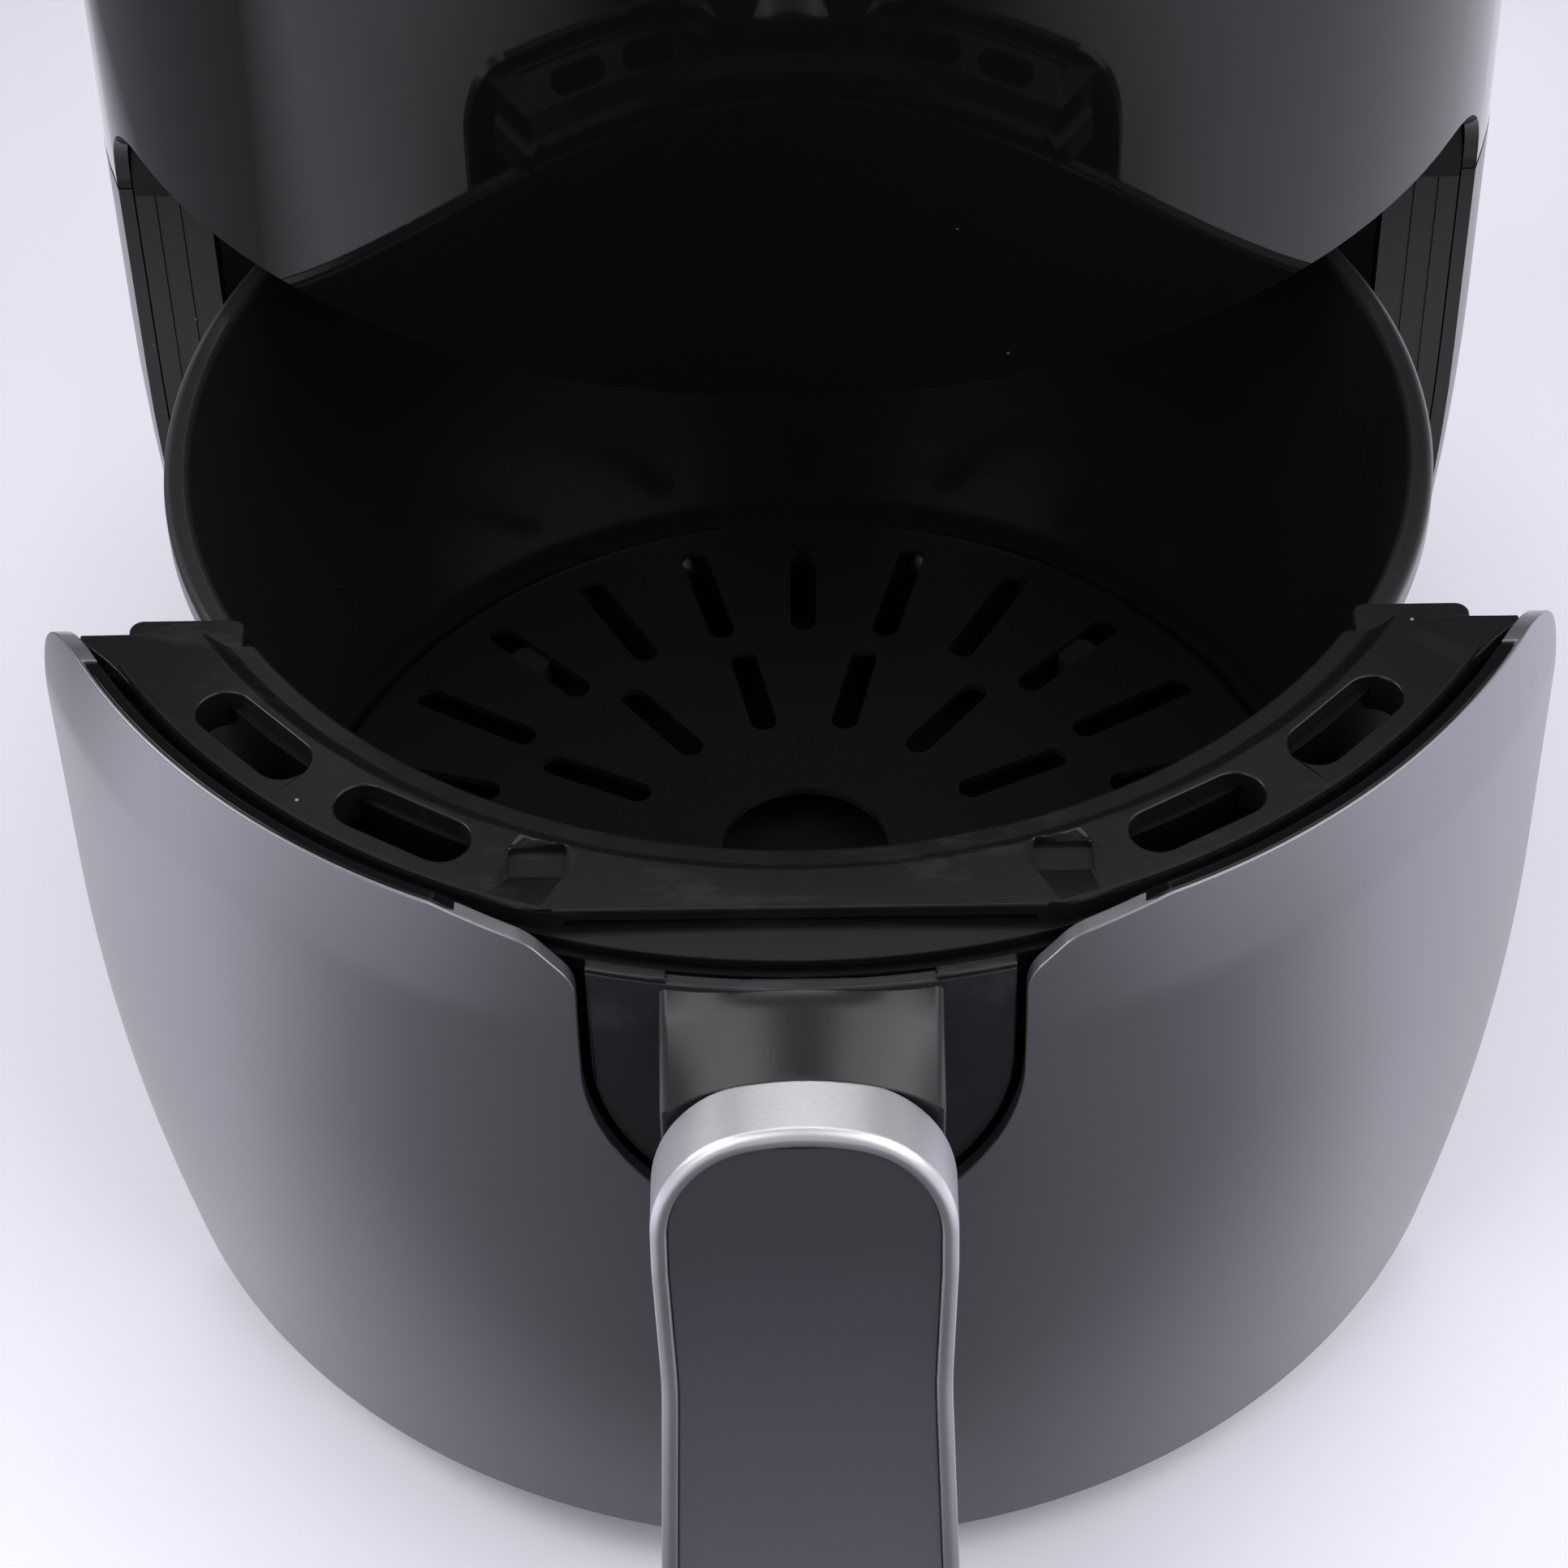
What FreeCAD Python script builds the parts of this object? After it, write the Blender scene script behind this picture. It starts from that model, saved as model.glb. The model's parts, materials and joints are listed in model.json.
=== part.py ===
import FreeCAD, Part
import math
import os
import re
import Sketcher
from FreeCAD import Placement, Rotation, Vector

# Air fryer: a round housing with a gloss front panel, and a drawer that carries a round non-stick pan
# and slides out along -Y.  Z is up and z = 0 is the table.  Every piece is drawn with the drawer
# shut and the axis of the body on Z; the drawer is then pulled out by pull_out, and everything is
# moved along Y by frame_shift so that the origin is below the middle of the whole part.

SIZES = [
    ("body_radius", 137, "outside of the casing and of the front panel"),
    ("body_height", 326, "top of the cover above the table"),
    ("casing_wall", 2.5, "moulded walls of casing, panel and cover"),
    ("cover_depth", 26, "top cover, from its joint to its crown"),
    ("pillar_reach", 24.5, "inner edges of the pillars inside the casing radius"),
    ("barrel_turn", 62, "height at which the body starts to turn in towards its foot"),
    ("barrel_inset", 9, "how far the body turns in at its foot"),
    ("barrel_round", 560, "radius of that turn"),
    ("face_gap", 0.05, "clearance between faces that lie on one another"),
    ("fit_gap", 0.3, "clearance between mouldings that sit in one another"),
    ("foot_height", 6, "rubber foot below the base plate"),
    ("foot_inset", 37, "feet inside the casing radius"),
    ("foot_radius", 9, "radius of a rubber foot"),
    ("base_thick", 4, "base plate"),
    ("floor_thick", 3, "cavity floor"),
    ("rail_width", 8, "width of a drawer rail and of a pan runner"),
    ("rim_height", 163, "top of the pan rim above the table"),
    ("panel_rise", 10, "lower edge of the front panel above the pan rim"),
    ("panel_drop", 12, "lower edge of the panel's side cheeks below the pan rim"),
    ("panel_seam", 8, "plane of the joint between panel and casing, behind the axis"),
    ("mouth_plane", 45, "front faces of the pillars, in front of the axis"),
    ("mouth_round", 20, "rounding of the mouth's upper corners"),
    ("pillar_thick", 6, "pillars, front to back"),
    ("lintel_thick", 3, "ring above the mouth"),
    ("sheet_steel", 0.8, "steel sheet of drum, dish and shield"),
    ("pull_out", 132, "how far the drawer stands open at rest"),
    ("split_gap", 4.5, "gap between the shut drawer's wings and the pillars"),
    ("front_rise", 8, "top edge of the drawer front above the pan rim"),
    ("front_wall", 2.8, "wall of the drawer front"),
    ("front_inset", 1, "drawer front inside the casing radius"),
    ("front_lean", 1.8, "how far the drawer front leans in at its top edge"),
    ("front_foot", 11.5, "bottom edge of the drawer front above the table"),
    ("wing_round", 16.5, "rounding of the wings' upper corners"),
    ("notch_half", 34.5, "half width of the notch for the handle bracket"),
    ("notch_centre", 20, "centre of the notch's round end below the pan rim"),
    ("bracket_gap", 1.5, "gap between the notch and the bracket"),
    ("liner_inset", 6, "liner's outer wall inside the casing radius"),
    ("liner_clear", 5, "liner's inner wall outside the pan rim"),
    ("liner_wall", 2, "drawer liner wall"),
    ("deck_clear", 0.5, "slotted frame inside the liner's outer wall"),
    ("deck_rise", 6, "top of the slotted frame above the pan rim"),
    ("lip_rise", 3, "top of the frame's inner lip above the pan rim"),
    ("lip_step", 0.5, "frame's lip set back from the pan's mouth"),
    ("chord_inset", 6.7, "straight front edge inside the frame's outer edge"),
    ("ledge_drop", 2.2, "thickness of the frame's lower ledges"),
    ("ledge_inner", 91, "rear ledge, inner side"),
    ("ledge_outer", 110.4, "rear ledge, outer side"),
    ("recess_inner", 36, "shallow recess beside the middle, inner side"),
    ("recess_outer", 45.4, "shallow recess, outer side"),
    ("recess_front", 114.5, "shallow recess, front side"),
    ("recess_back", 107.5, "shallow recess, back side"),
    ("slot_inset", 9.2, "circle of the air slots inside the frame's outer edge"),
    ("deck_thick", 2.2, "thickness of the slotted frame"),
    ("ledge_plane", 58, "where the frame steps down to its rear ledges"),
    ("deck_back", 51.5, "rear ends of the frame's ledges, in front of the axis"),
    ("slot_length", 24, "air slot, end to end"),
    ("slot_width", 9.5, "air slot"),
    ("slot_inner_angle", 31.2, "inner air slots, from the front"),
    ("slot_outer_angle", 46.6, "outer air slots, from the front"),
    ("drum_step", 1, "drum set back from the pillars' inner edges"),
    ("pan_clear", 2.5, "pan rim inside the pillars"),
    ("rim_width", 4.5, "rolled rim of the pan, seen from above"),
    ("pan_draft", 8, "pan wall's lean from mouth to floor"),
    ("pan_depth", 118, "inside depth of the pan"),
    ("pan_wall", 1.2, "pan wall"),
    ("pan_corner", 14, "inside corner between wall and floor"),
    ("rim_drop", 6, "height of the rolled rim"),
    ("runner_height", 6, "pan runners below the pan"),
    ("crisper_clear", 2, "crisper plate inside the pan"),
    ("crisper_lift", 11, "underside of the crisper plate above the pan floor"),
    ("crisper_thick", 1.5, "crisper plate sheet"),
    ("crisper_border", 9.5, "outer slots inside the crisper plate's edge"),
    ("crisper_slot", 22, "length of the outer slots"),
    ("crisper_bridge", 10, "metal between the two rings of slots"),
    ("crisper_core", 36, "radius at which the inner slots start"),
    ("bracket_thick", 2.6, "handle bracket, from the liner to its face"),
    ("bracket_lip", 1.2, "raised lips on top of the handle bracket"),
    ("grip_stand", 29, "grip at its bend, outside the casing radius"),
    ("grip_drop", 50, "bend of the grip below the pan rim"),
    ("grip_top", 6.5, "top of the grip below the pan rim"),
    ("grip_bottom", 128, "bottom of the grip below the pan rim"),
    ("lean_top", 0.24, "forward lean of the grip above its bend"),
    ("lean_low", 0.27, "forward lean of the grip below its bend"),
    ("grip_half", 23.5, "half width of the grip at its head"),
    ("grip_waist", 22.6, "half width of the grip at its waist"),
    ("grip_flare", 25, "half width of the grip at its lower end"),
    ("trim_depth", 11, "metal frame of the grip, front to back"),
    ("trim_edge", 2.6, "visible edge of the metal frame"),
    ("inlay_sink", 0.8, "inlay below the metal frame's front"),
    ("inlay_thick", 2.4, "inlay"),
    ("cover_thick", 5, "rear shell of the grip"),
    ("neck_half", 21.8, "half width of the neck"),
    ("neck_crown", 2.5, "crown of the neck below the pan rim"),
    ("dish_inset", 15.5, "heater dish inside the drum"),
    ("dish_height", 36, "depth of the heater dish"),
    ("shield_gap", 5, "gap between dish and heat shield"),
    ("coil_tube", 3.2, "radius of the heating tube"),
    ("coil_rise", 12, "centre of the heating tube above the lintel's underside"),
    ("coil_clear", 18, "outer turn of the heating tube inside the dish"),
    ("coil_step", 20, "distance between the two turns"),
    ("coil_gap", 19.35, "half the width left open between the ends of the outer turn"),
    ("shaft_radius", 3, "motor shaft"),
    ("shaft_clear", 0.05, "running clearance of the shaft in the motor"),
    ("fan_height", 12, "hot air fan blades"),
    ("cool_radius", 44, "cooling fan"),
    ("motor_radius", 34, "motor can"),
    ("motor_height", 40, "motor can"),
    ("grille_half", 34, "half width of the outlet window at the back"),
    ("grille_rise", 23, "outlet window above the pan rim"),
    ("grille_size", 46, "height of the outlet window"),
    ("grille_slots", 8, "louvres of the outlet grille"),
    ("screw_spread", 40, "base screws beside and before the axis"),
    ("neck_screw_side", 12, "handle screws beside the middle"),
    ("neck_screw_drop", 13, "handle screws below the pan rim"),
    ("plunger_rise", 68, "interlock plunger above the table"),
    ("plunger_radius", 2, "interlock plunger"),
    ("plunger_travel", 3, "travel of the interlock plunger"),
    ("gland_reach", 14, "nose of the cable gland behind the casing"),
    ("gland_radius", 6, "cable gland in the casing wall"),
    ("gland_side", 62, "cable gland beside the middle of the back"),
    ("gland_rise", 34, "cable gland above the table"),
    ("window_drop", 10, "touch window below the cover joint"),
    ("window_size", 34, "height of the touch window"),
    ("carrier_inset", 19, "control carrier inside the casing radius"),
    ("window_half", 62, "half width of the touch window"),
    ("window_thick", 1, "touch window"),
]

doc = FreeCAD.newDocument("AirFryer")
sheet = doc.addObject("Spreadsheet::Sheet", "Sizes")
for row, (name, number, note) in enumerate(SIZES, 1):
    sheet.set(f"A{row}", name)
    sheet.set(f"B{row}", str(number))
    sheet.set(f"C{row}", note)
    sheet.setAlias(f"B{row}", name)
doc.recompute()

ALIAS = re.compile(r"\b(" + "|".join(sorted((n for n, _, _ in SIZES), key=len, reverse=True)) + r")\b")

# sizes that follow from others
FOLLOWS = {
    "cover_line": "body_height - cover_depth",
    "mouth_half": "body_radius - pillar_reach",
    "drum_radius": "mouth_half + drum_step",
    "pan_rim_radius": "mouth_half - pan_clear",
    "pan_mouth": "pan_rim_radius - rim_width",
    "pan_foot": "pan_mouth - pan_draft",
    "lip_radius": "pan_mouth + lip_step",
    "crisper_radius": "pan_foot - crisper_clear",
    "crisper_foot_circle": "crisper_radius - 17.5",
    "liner_outer": "body_radius - liner_inset",
    "liner_inner": "pan_rim_radius + liner_clear",
    "deck_radius": "liner_outer - liner_wall - deck_clear",
    "slot_radius": "deck_radius - slot_inset",
    "deck_chord": "deck_radius - chord_inset",
    "bracket_front": "liner_outer + bracket_thick",
    "grip_mid": "body_radius + grip_stand",
    "foot_spread": "body_radius - foot_inset",
    "dish_radius": "drum_radius - dish_inset",
    "coil_outer": "dish_radius - coil_clear",
    "coil_inner": "coil_outer - coil_step",
    "coil_gap_angle": "asin(coil_gap / coil_outer)",
    "fan_radius": "coil_inner + 2",
    "carrier_plane": "body_radius - carrier_inset",
    "plunger_side": "mouth_half + 8.2",
    "rail_spacing": "pan_foot + 12.5",
    "rail_half": "drum_radius - 16.5",
    "runner_half": "pan_foot - 39.5",
    "grille_low": "rim_height + grille_rise",
    "grille_high": "grille_low + grille_size",
    "window_high": "cover_line - window_drop",
    "window_low": "window_high - window_size",
}
FOLLOWING = re.compile(r"\b(" + "|".join(sorted(FOLLOWS, key=len, reverse=True)) + r")\b")

# heights and places that several pieces share, as expressions of the sizes
BASE_TOP = "(foot_height + base_thick)"
FLOOR_TOP = "(foot_height + base_thick + floor_thick)"
CEILING = "(rim_height + panel_rise)"
LINTEL_TOP = "(rim_height + panel_rise + lintel_thick)"
PAN_FLOOR = "(rim_height - pan_depth)"
WING_PLANE = "(mouth_plane + split_gap)"
SHELL_RADIUS = "(body_radius - front_inset)"
CASING_INNER = "(body_radius - casing_wall)"
DISH_TOP = "(rim_height + panel_rise + lintel_thick + dish_height)"
SHIELD_TOP = "(rim_height + panel_rise + lintel_thick + dish_height + shield_gap)"
FRAME_SHIFT = "((grip_mid + (grip_bottom - grip_drop) * lean_low + pull_out - body_radius) / 2)"


def linked(expression):
    """The expression with every size read from the sheet."""
    text = str(expression)
    while FOLLOWING.search(text):
        text = FOLLOWING.sub(lambda found: f"({FOLLOWS[found[1]]})", text)
    return ALIAS.sub(r"Sizes.\1", text)


def value(expression):
    """The number that an expression of the sizes gives now."""
    return float(sheet.evalExpression(linked(expression)))


def bind(feature, **expressions):
    for name, expression in expressions.items():
        feature.setExpression(name.replace("__", "."), linked(expression))
    return feature


# sketches and features


def body(label):
    new = doc.addObject("PartDesign::Body", label)
    new.Label = label
    return new


def origin(owner, role):
    return next(f for f in owner.Origin.OriginFeatures if f.Role == role)


def sketch(owner, plane, lift=None, turn=0):
    """A sketch on an origin plane, lifted along its normal and turned about its upright axis."""
    new = owner.newObject("Sketcher::SketchObject", owner.Label + "_sketch")
    new.AttachmentSupport = [(origin(owner, plane), "")]
    new.MapMode = "FlatFace"
    new.AttachmentOffset = Placement(Vector(), Rotation(Vector(0, 1, 0), turn))
    if lift is not None:
        new.setExpression("AttachmentOffset.Base.z", linked(lift))
    return new


def pin_point(drawing, geometry, end, x, y):
    """Ties one point of the sketch to expressions of the sizes."""
    for kind, expression in (("DistanceX", x), ("DistanceY", y)):
        index = drawing.addConstraint(
            Sketcher.Constraint(kind, -1, 1, geometry, end, value(expression)))
        drawing.setExpression(f"Constraints[{index}]", linked(expression))


def outline(drawing, corners):
    """A closed outline through the corners (x, y) or (x, y, rounding)."""
    places = [Vector(value(c[0]), value(c[1]), 0) for c in corners]
    rounds = [value(c[2]) if len(c) > 2 else 0 for c in corners]
    count = len(corners)
    into, out = [], []
    for i, place in enumerate(places):
        before = (places[i - 1] - place).normalize()
        after = (places[(i + 1) % count] - place).normalize()
        half = before.getAngle(after) / 2
        reach = rounds[i] / math.tan(half) if rounds[i] else 0
        into.append(place + before * reach)
        out.append(place + after * reach)
    lines = [drawing.addGeometry(Part.LineSegment(out[i], into[(i + 1) % count])) for i in range(count)]
    for i, corner in enumerate(corners):
        if not rounds[i]:
            drawing.addConstraint(Sketcher.Constraint("Coincident", lines[i - 1], 2, lines[i], 1))
            pin_point(drawing, lines[i], 1, corner[0], corner[1])
            continue
        bisector = ((into[i] - places[i]) + (out[i] - places[i])).normalize()
        depth = math.hypot(rounds[i], (into[i] - places[i]).Length)
        middle = places[i] + bisector * (depth - rounds[i])
        arc = drawing.addGeometry(Part.Arc(into[i], middle, out[i]))
        centre = places[i] + bisector * depth
        turns_left = (into[i] - centre).cross(out[i] - centre).z > 0
        first, last = (1, 2) if turns_left else (2, 1)
        drawing.addConstraint(Sketcher.Constraint("Tangent", lines[i - 1], 2, arc, first))
        drawing.addConstraint(Sketcher.Constraint("Tangent", arc, last, lines[i], 1))
        radius = drawing.addConstraint(Sketcher.Constraint("Radius", arc, rounds[i]))
        drawing.setExpression(f"Constraints[{radius}]", linked(corner[2]))
        point = drawing.addGeometry(Part.Point(places[i]), True)
        drawing.addConstraint(Sketcher.Constraint("PointOnObject", point, 1, lines[i - 1]))
        drawing.addConstraint(Sketcher.Constraint("PointOnObject", point, 1, lines[i]))
        pin_point(drawing, point, 1, corner[0], corner[1])
    return drawing


def circle(drawing, x, y, radius):
    index = drawing.addGeometry(Part.Circle(Vector(value(x), value(y), 0), Vector(0, 0, 1), value(radius)))
    pin_point(drawing, index, 3, x, y)
    size = drawing.addConstraint(Sketcher.Constraint("Radius", index, value(radius)))
    drawing.setExpression(f"Constraints[{size}]", linked(radius))
    return drawing


def slot(drawing, x1, y1, x2, y2, radius):
    """A slot with round ends about two centres."""
    one, two = Vector(value(x1), value(y1), 0), Vector(value(x2), value(y2), 0)
    along = (two - one).normalize()
    side = Vector(-along.y, along.x, 0) * value(radius)
    cap = along * value(radius)
    arcs = [drawing.addGeometry(Part.Arc(one + side, one - cap, one - side)),
            drawing.addGeometry(Part.Arc(two - side, two + cap, two + side))]
    lines = [drawing.addGeometry(Part.LineSegment(one - side, two - side)),
             drawing.addGeometry(Part.LineSegment(two + side, one + side))]
    pin_point(drawing, arcs[0], 3, x1, y1)
    pin_point(drawing, arcs[1], 3, x2, y2)
    drawing.addConstraint(Sketcher.Constraint("Tangent", arcs[0], 2, lines[0], 1))
    drawing.addConstraint(Sketcher.Constraint("Tangent", lines[0], 2, arcs[1], 1))
    drawing.addConstraint(Sketcher.Constraint("Tangent", arcs[1], 2, lines[1], 1))
    drawing.addConstraint(Sketcher.Constraint("Tangent", lines[1], 2, arcs[0], 1))
    drawing.addConstraint(Sketcher.Constraint("Equal", arcs[0], arcs[1]))
    size = drawing.addConstraint(Sketcher.Constraint("Radius", arcs[0], value(radius)))
    drawing.setExpression(f"Constraints[{size}]", linked(radius))
    return drawing


def revolve(owner, drawing, angle=360, cut=False):
    kind = "PartDesign::Groove" if cut else "PartDesign::Revolution"
    new = owner.newObject(kind, owner.Label + "_turned")
    new.Profile = drawing
    new.ReferenceAxis = (drawing, ["V_Axis"])
    new.Angle = angle
    return new


def pad(owner, drawing, length, both=False, flip=False):
    new = owner.newObject("PartDesign::Pad", owner.Label + "_pad")
    new.Profile = drawing
    new.Midplane = both
    new.Reversed = flip
    return bind(new, Length=length)


def pocket(owner, drawing, depth=None, both=False, flip=False):
    new = owner.newObject("PartDesign::Pocket", owner.Label + "_pocket")
    new.Profile = drawing
    new.Midplane = both
    new.Reversed = flip
    if depth is None:
        new.Type = "ThroughAll"
        return new
    return bind(new, Length=depth)


def polar(owner, feature, count, angle=360):
    new = owner.newObject("PartDesign::PolarPattern", owner.Label + "_ring")
    new.Originals = [feature]
    new.Axis = (origin(owner, "Z_Axis"), [""])
    new.Angle = angle
    new.Occurrences = count
    owner.Tip = new
    return new


def linear(owner, feature, axis, length, count):
    new = owner.newObject("PartDesign::LinearPattern", owner.Label + "_row")
    new.Originals = [feature]
    new.Direction = (origin(owner, axis), [""])
    new.Occurrences = count
    bind(new, Length=length)
    owner.Tip = new
    return new


def primitive(kind, label, **sizes):
    new = doc.addObject(kind, label)
    return bind(new, **sizes)


def together(kind, label, pieces):
    new = doc.addObject(kind, label)
    new.Shapes = pieces
    return new


def group(label, pieces):
    new = doc.addObject("Part::Compound", label)
    new.Links = pieces
    return new


def screws(label, places, shank, length, head=None, turn=None, drawer=False):
    """Pan-head screws whose heads sit on the given places and whose shanks run up, or along `turn`."""
    pieces = []
    for count, (x, y, z) in enumerate(places):
        screw = body(f"{label}_{count}")
        head = head or f"2.1 * {shank}"
        revolve(screw, outline(sketch(screw, "XZ_Plane"), [
            (0, f"-{shank} * 1.4"), (head, f"-{shank} * 1.4", f"{shank} * 0.6"), (head, 0), (shank, 0),
            (shank, f"{length} - {shank} * 0.7"), (f"0.3 * {shank}", length), (0, length)]))
        pocket(screw, outline(sketch(screw, "XY_Plane", f"-{shank} * 0.7"), [
            (f"-{shank}", f"-0.2 * {shank}"), (shank, f"-0.2 * {shank}"), (shank, f"0.2 * {shank}"),
            (f"-{shank}", f"0.2 * {shank}")]))
        screw.Placement = Placement(Vector(), turn or Rotation())
        bind(screw, Placement__Base__x=x, Placement__Base__y=y, Placement__Base__z=z)
        pieces.append(screw)
    return node(group(label + "_set", pieces), label, drawer)


def common(label, one, two):
    return together("Part::MultiCommon", label, [one, two])


def cut(label, base, tool):
    new = doc.addObject("Part::Cut", label)
    new.Base, new.Tool = base, tool
    return new


nodes = []


def node(piece, label, drawer=False, up=None):
    """Names a finished piece and puts it in the frame of the whole part."""
    piece.Label = label
    shift = FRAME_SHIFT + (" - pull_out" if drawer else "")
    if piece.TypeId == "Part::Feature":
        piece.Placement = Placement(Vector(0, value(shift), 0), Rotation())
    else:
        piece.setExpression("Placement.Base.y", linked(shift))
    nodes.append(piece)
    return piece


def barrel(outer, bottom, top):
    """Corners, bottom to top, of the body's side at this radius."""
    foot = f"({outer} - barrel_inset * (barrel_turn - {bottom}) / (barrel_turn - foot_height))"
    return [(foot, bottom), (outer, "barrel_turn", "barrel_round"), (outer, top)]


def keep_front(owner, plane, top=None, rounding=None, low="-5"):
    """Cuts away all that lies behind a plane, with the upper corner rounded."""
    corner = [(f"-({plane})", top, rounding)] if top else [(f"-({plane})", "body_height")]
    far = [("-2 * body_radius", top), ("-2 * body_radius", "2 * body_height")] if top else []
    return pocket(owner, outline(sketch(owner, "YZ_Plane"), [
        (f"-({plane})", low), *corner, *far,
        ("2 * body_radius", "2 * body_height" if top else "body_height"), ("2 * body_radius", low)]),
        both=True)


# housing: shells


def base_plate():
    plate = body("base_plate")
    disc = f"({barrel(CASING_INNER, BASE_TOP, 0)[0][0]} - fit_gap)"
    revolve(plate, outline(sketch(plate, "XZ_Plane"), [
        (0, "foot_height"), (disc + " + 1.5", "foot_height", "1.5"), (disc + " + 1.5", BASE_TOP),
        (disc, BASE_TOP), (disc, BASE_TOP + " + 8"),
        (disc + " - casing_wall", BASE_TOP + " + 8"), (disc + " - casing_wall", BASE_TOP), (0, BASE_TOP)]))
    # the locating wall runs round the back only: the drawer front hangs over the plate at the front
    behind = "-mouth_plane + pillar_thick + fit_gap"
    pocket(plate, outline(sketch(plate, "YZ_Plane"), [
        ("-2 * body_radius", BASE_TOP), (behind, BASE_TOP), (behind, "3 * " + BASE_TOP),
        ("-2 * body_radius", "3 * " + BASE_TOP)]), both=True)
    vent = pocket(plate, slot(sketch(plate, "XY_Plane"), "-22", "-24", "22", "-24", "1.6"), both=True)
    linear(plate, vent, "Y_Axis", "48", 7)
    holes = sketch(plate, "XY_Plane")
    for x, y in FLOOR_SCREWS:
        circle(holes, x, y, "1.8")
    pocket(plate, holes, both=True)
    return node(plate, "base_plate")


def rubber_feet():
    feet = []
    for turn in (45, 135, 225, 315):
        foot = body(f"foot_{turn}")
        revolve(foot, outline(sketch(foot, "XZ_Plane"), [
            (0, "1"), ("foot_radius - 4", "1"), ("foot_radius - 3", "0"), ("foot_radius - 0.8", "0"),
            ("foot_radius", "foot_height"), (0, "foot_height")]))
        bind(foot, Placement__Base__x=f"foot_spread * cos({turn})",
             Placement__Base__y=f"foot_spread * sin({turn})")
        feet.append(foot)
    return node(group("feet_set", feet), "rubber_feet")


def front_panel():
    panel = body("panel_shell")
    revolve(panel, outline(sketch(panel, "XZ_Plane"), [
        (CASING_INNER, "rim_height - panel_drop"), ("body_radius", "rim_height - panel_drop", "1.2"),
        ("body_radius", "cover_line"), (CASING_INNER, "cover_line")]))
    keep_front(panel, "-panel_seam")
    pocket(panel, outline(sketch(panel, "YZ_Plane"), [
        ("-2 * body_radius", "0"), ("-mouth_plane", "0"), ("-mouth_plane", CEILING, "mouth_round"),
        ("-2 * body_radius", CEILING)]), both=True)
    seat = shell_patch("window_seat", "body_radius - window_thick", "body_radius + 5",
                       "window_low - 10", "window_high + 10", window_corners("0.1"))
    return node(cut("panel_seated", panel, seat), "front_panel")


def rear_casing():
    casing = body("rear_casing")
    revolve(casing, outline(sketch(casing, "XZ_Plane"), [
        *barrel("body_radius", BASE_TOP, "cover_line"),
        *reversed(barrel(CASING_INNER, BASE_TOP, "cover_line"))]))
    seam = "(panel_seam + fit_gap)"
    cheek = "(rim_height - panel_drop - fit_gap)"
    pocket(casing, outline(sketch(casing, "YZ_Plane"), [
        ("-2 * body_radius", "-5"), ("-mouth_plane", "-5"), ("-mouth_plane", cheek), (seam, cheek),
        (seam, "2 * body_height"), ("-2 * body_radius", "2 * body_height")]), both=True)
    # upright inlet slots across the top of the back
    inlet = pocket(casing, slot(sketch(casing, "XZ_Plane", turn=-33), "0", "cover_line - 34", "0",
                                "cover_line - 12", "1.6"))
    polar(casing, inlet, 15, 66)
    # window for the outlet grille, and the hole for the cable gland
    pocket(casing, outline(sketch(casing, "XZ_Plane"), grille_corners("0")))
    pocket(casing, circle(sketch(casing, "XZ_Plane"), "-gland_side", "gland_rise", "gland_radius + 0.2"))
    return node(casing, "rear_casing")


def grille_corners(inside):
    return [(f"-(grille_half - {inside})", f"grille_low + {inside}", "5"),
            (f"grille_half - {inside}", f"grille_low + {inside}", "5"),
            (f"grille_half - {inside}", f"grille_high - {inside}", "5"),
            (f"-(grille_half - {inside})", f"grille_high - {inside}", "5")]


def window_corners(outside):
    return [(f"-(window_half + {outside})", f"window_low - {outside}", "9"),
            (f"window_half + {outside}", f"window_low - {outside}", "9"),
            (f"window_half + {outside}", f"window_high + {outside}", "9"),
            (f"-(window_half + {outside})", f"window_high + {outside}", "9")]


def shell_patch(label, inner, outer, low, high, corners, front=True):
    """A curved plate cut out of a round wall by an outline seen from the front or from the back."""
    wall = body(label + "_wall")
    revolve(wall, outline(sketch(wall, "XZ_Plane"), [
        (inner, low), (outer, low), (outer, high), (inner, high)]))
    block = body(label + "_block")
    pad(block, outline(sketch(block, "XZ_Plane"), corners), "2 * body_radius", flip=not front)
    return common(label + "_patch", wall, block)


def touch_window():
    window = shell_patch("touch_window", "body_radius - window_thick", "body_radius",
                         "window_low - 10", "window_high + 10", window_corners("0"))
    return node(window, "touch_window")


def outlet_grille():
    grille = shell_patch("outlet_grille", "body_radius - casing_wall", "body_radius",
                         "grille_low - 10", "grille_high + 10", grille_corners("fit_gap"), front=False)
    louvres = body("louvre_slots")
    step = "((grille_high - grille_low) / (grille_slots + 1))"
    first = f"(grille_low + {step})"
    slat = pad(louvres, outline(sketch(louvres, "XZ_Plane"), [
        ("-(grille_half - 7)", first + " - 1.5"), ("grille_half - 7", first + " - 1.5"),
        ("grille_half - 7", first + " + 1.5"), ("-(grille_half - 7)", first + " + 1.5")]),
        "2 * body_radius", flip=True)
    linear(louvres, slat, "Z_Axis", step + " * (grille_slots - 1)", int(value("grille_slots")))
    return node(cut("outlet_slotted", grille, louvres), "outlet_grille")


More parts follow.
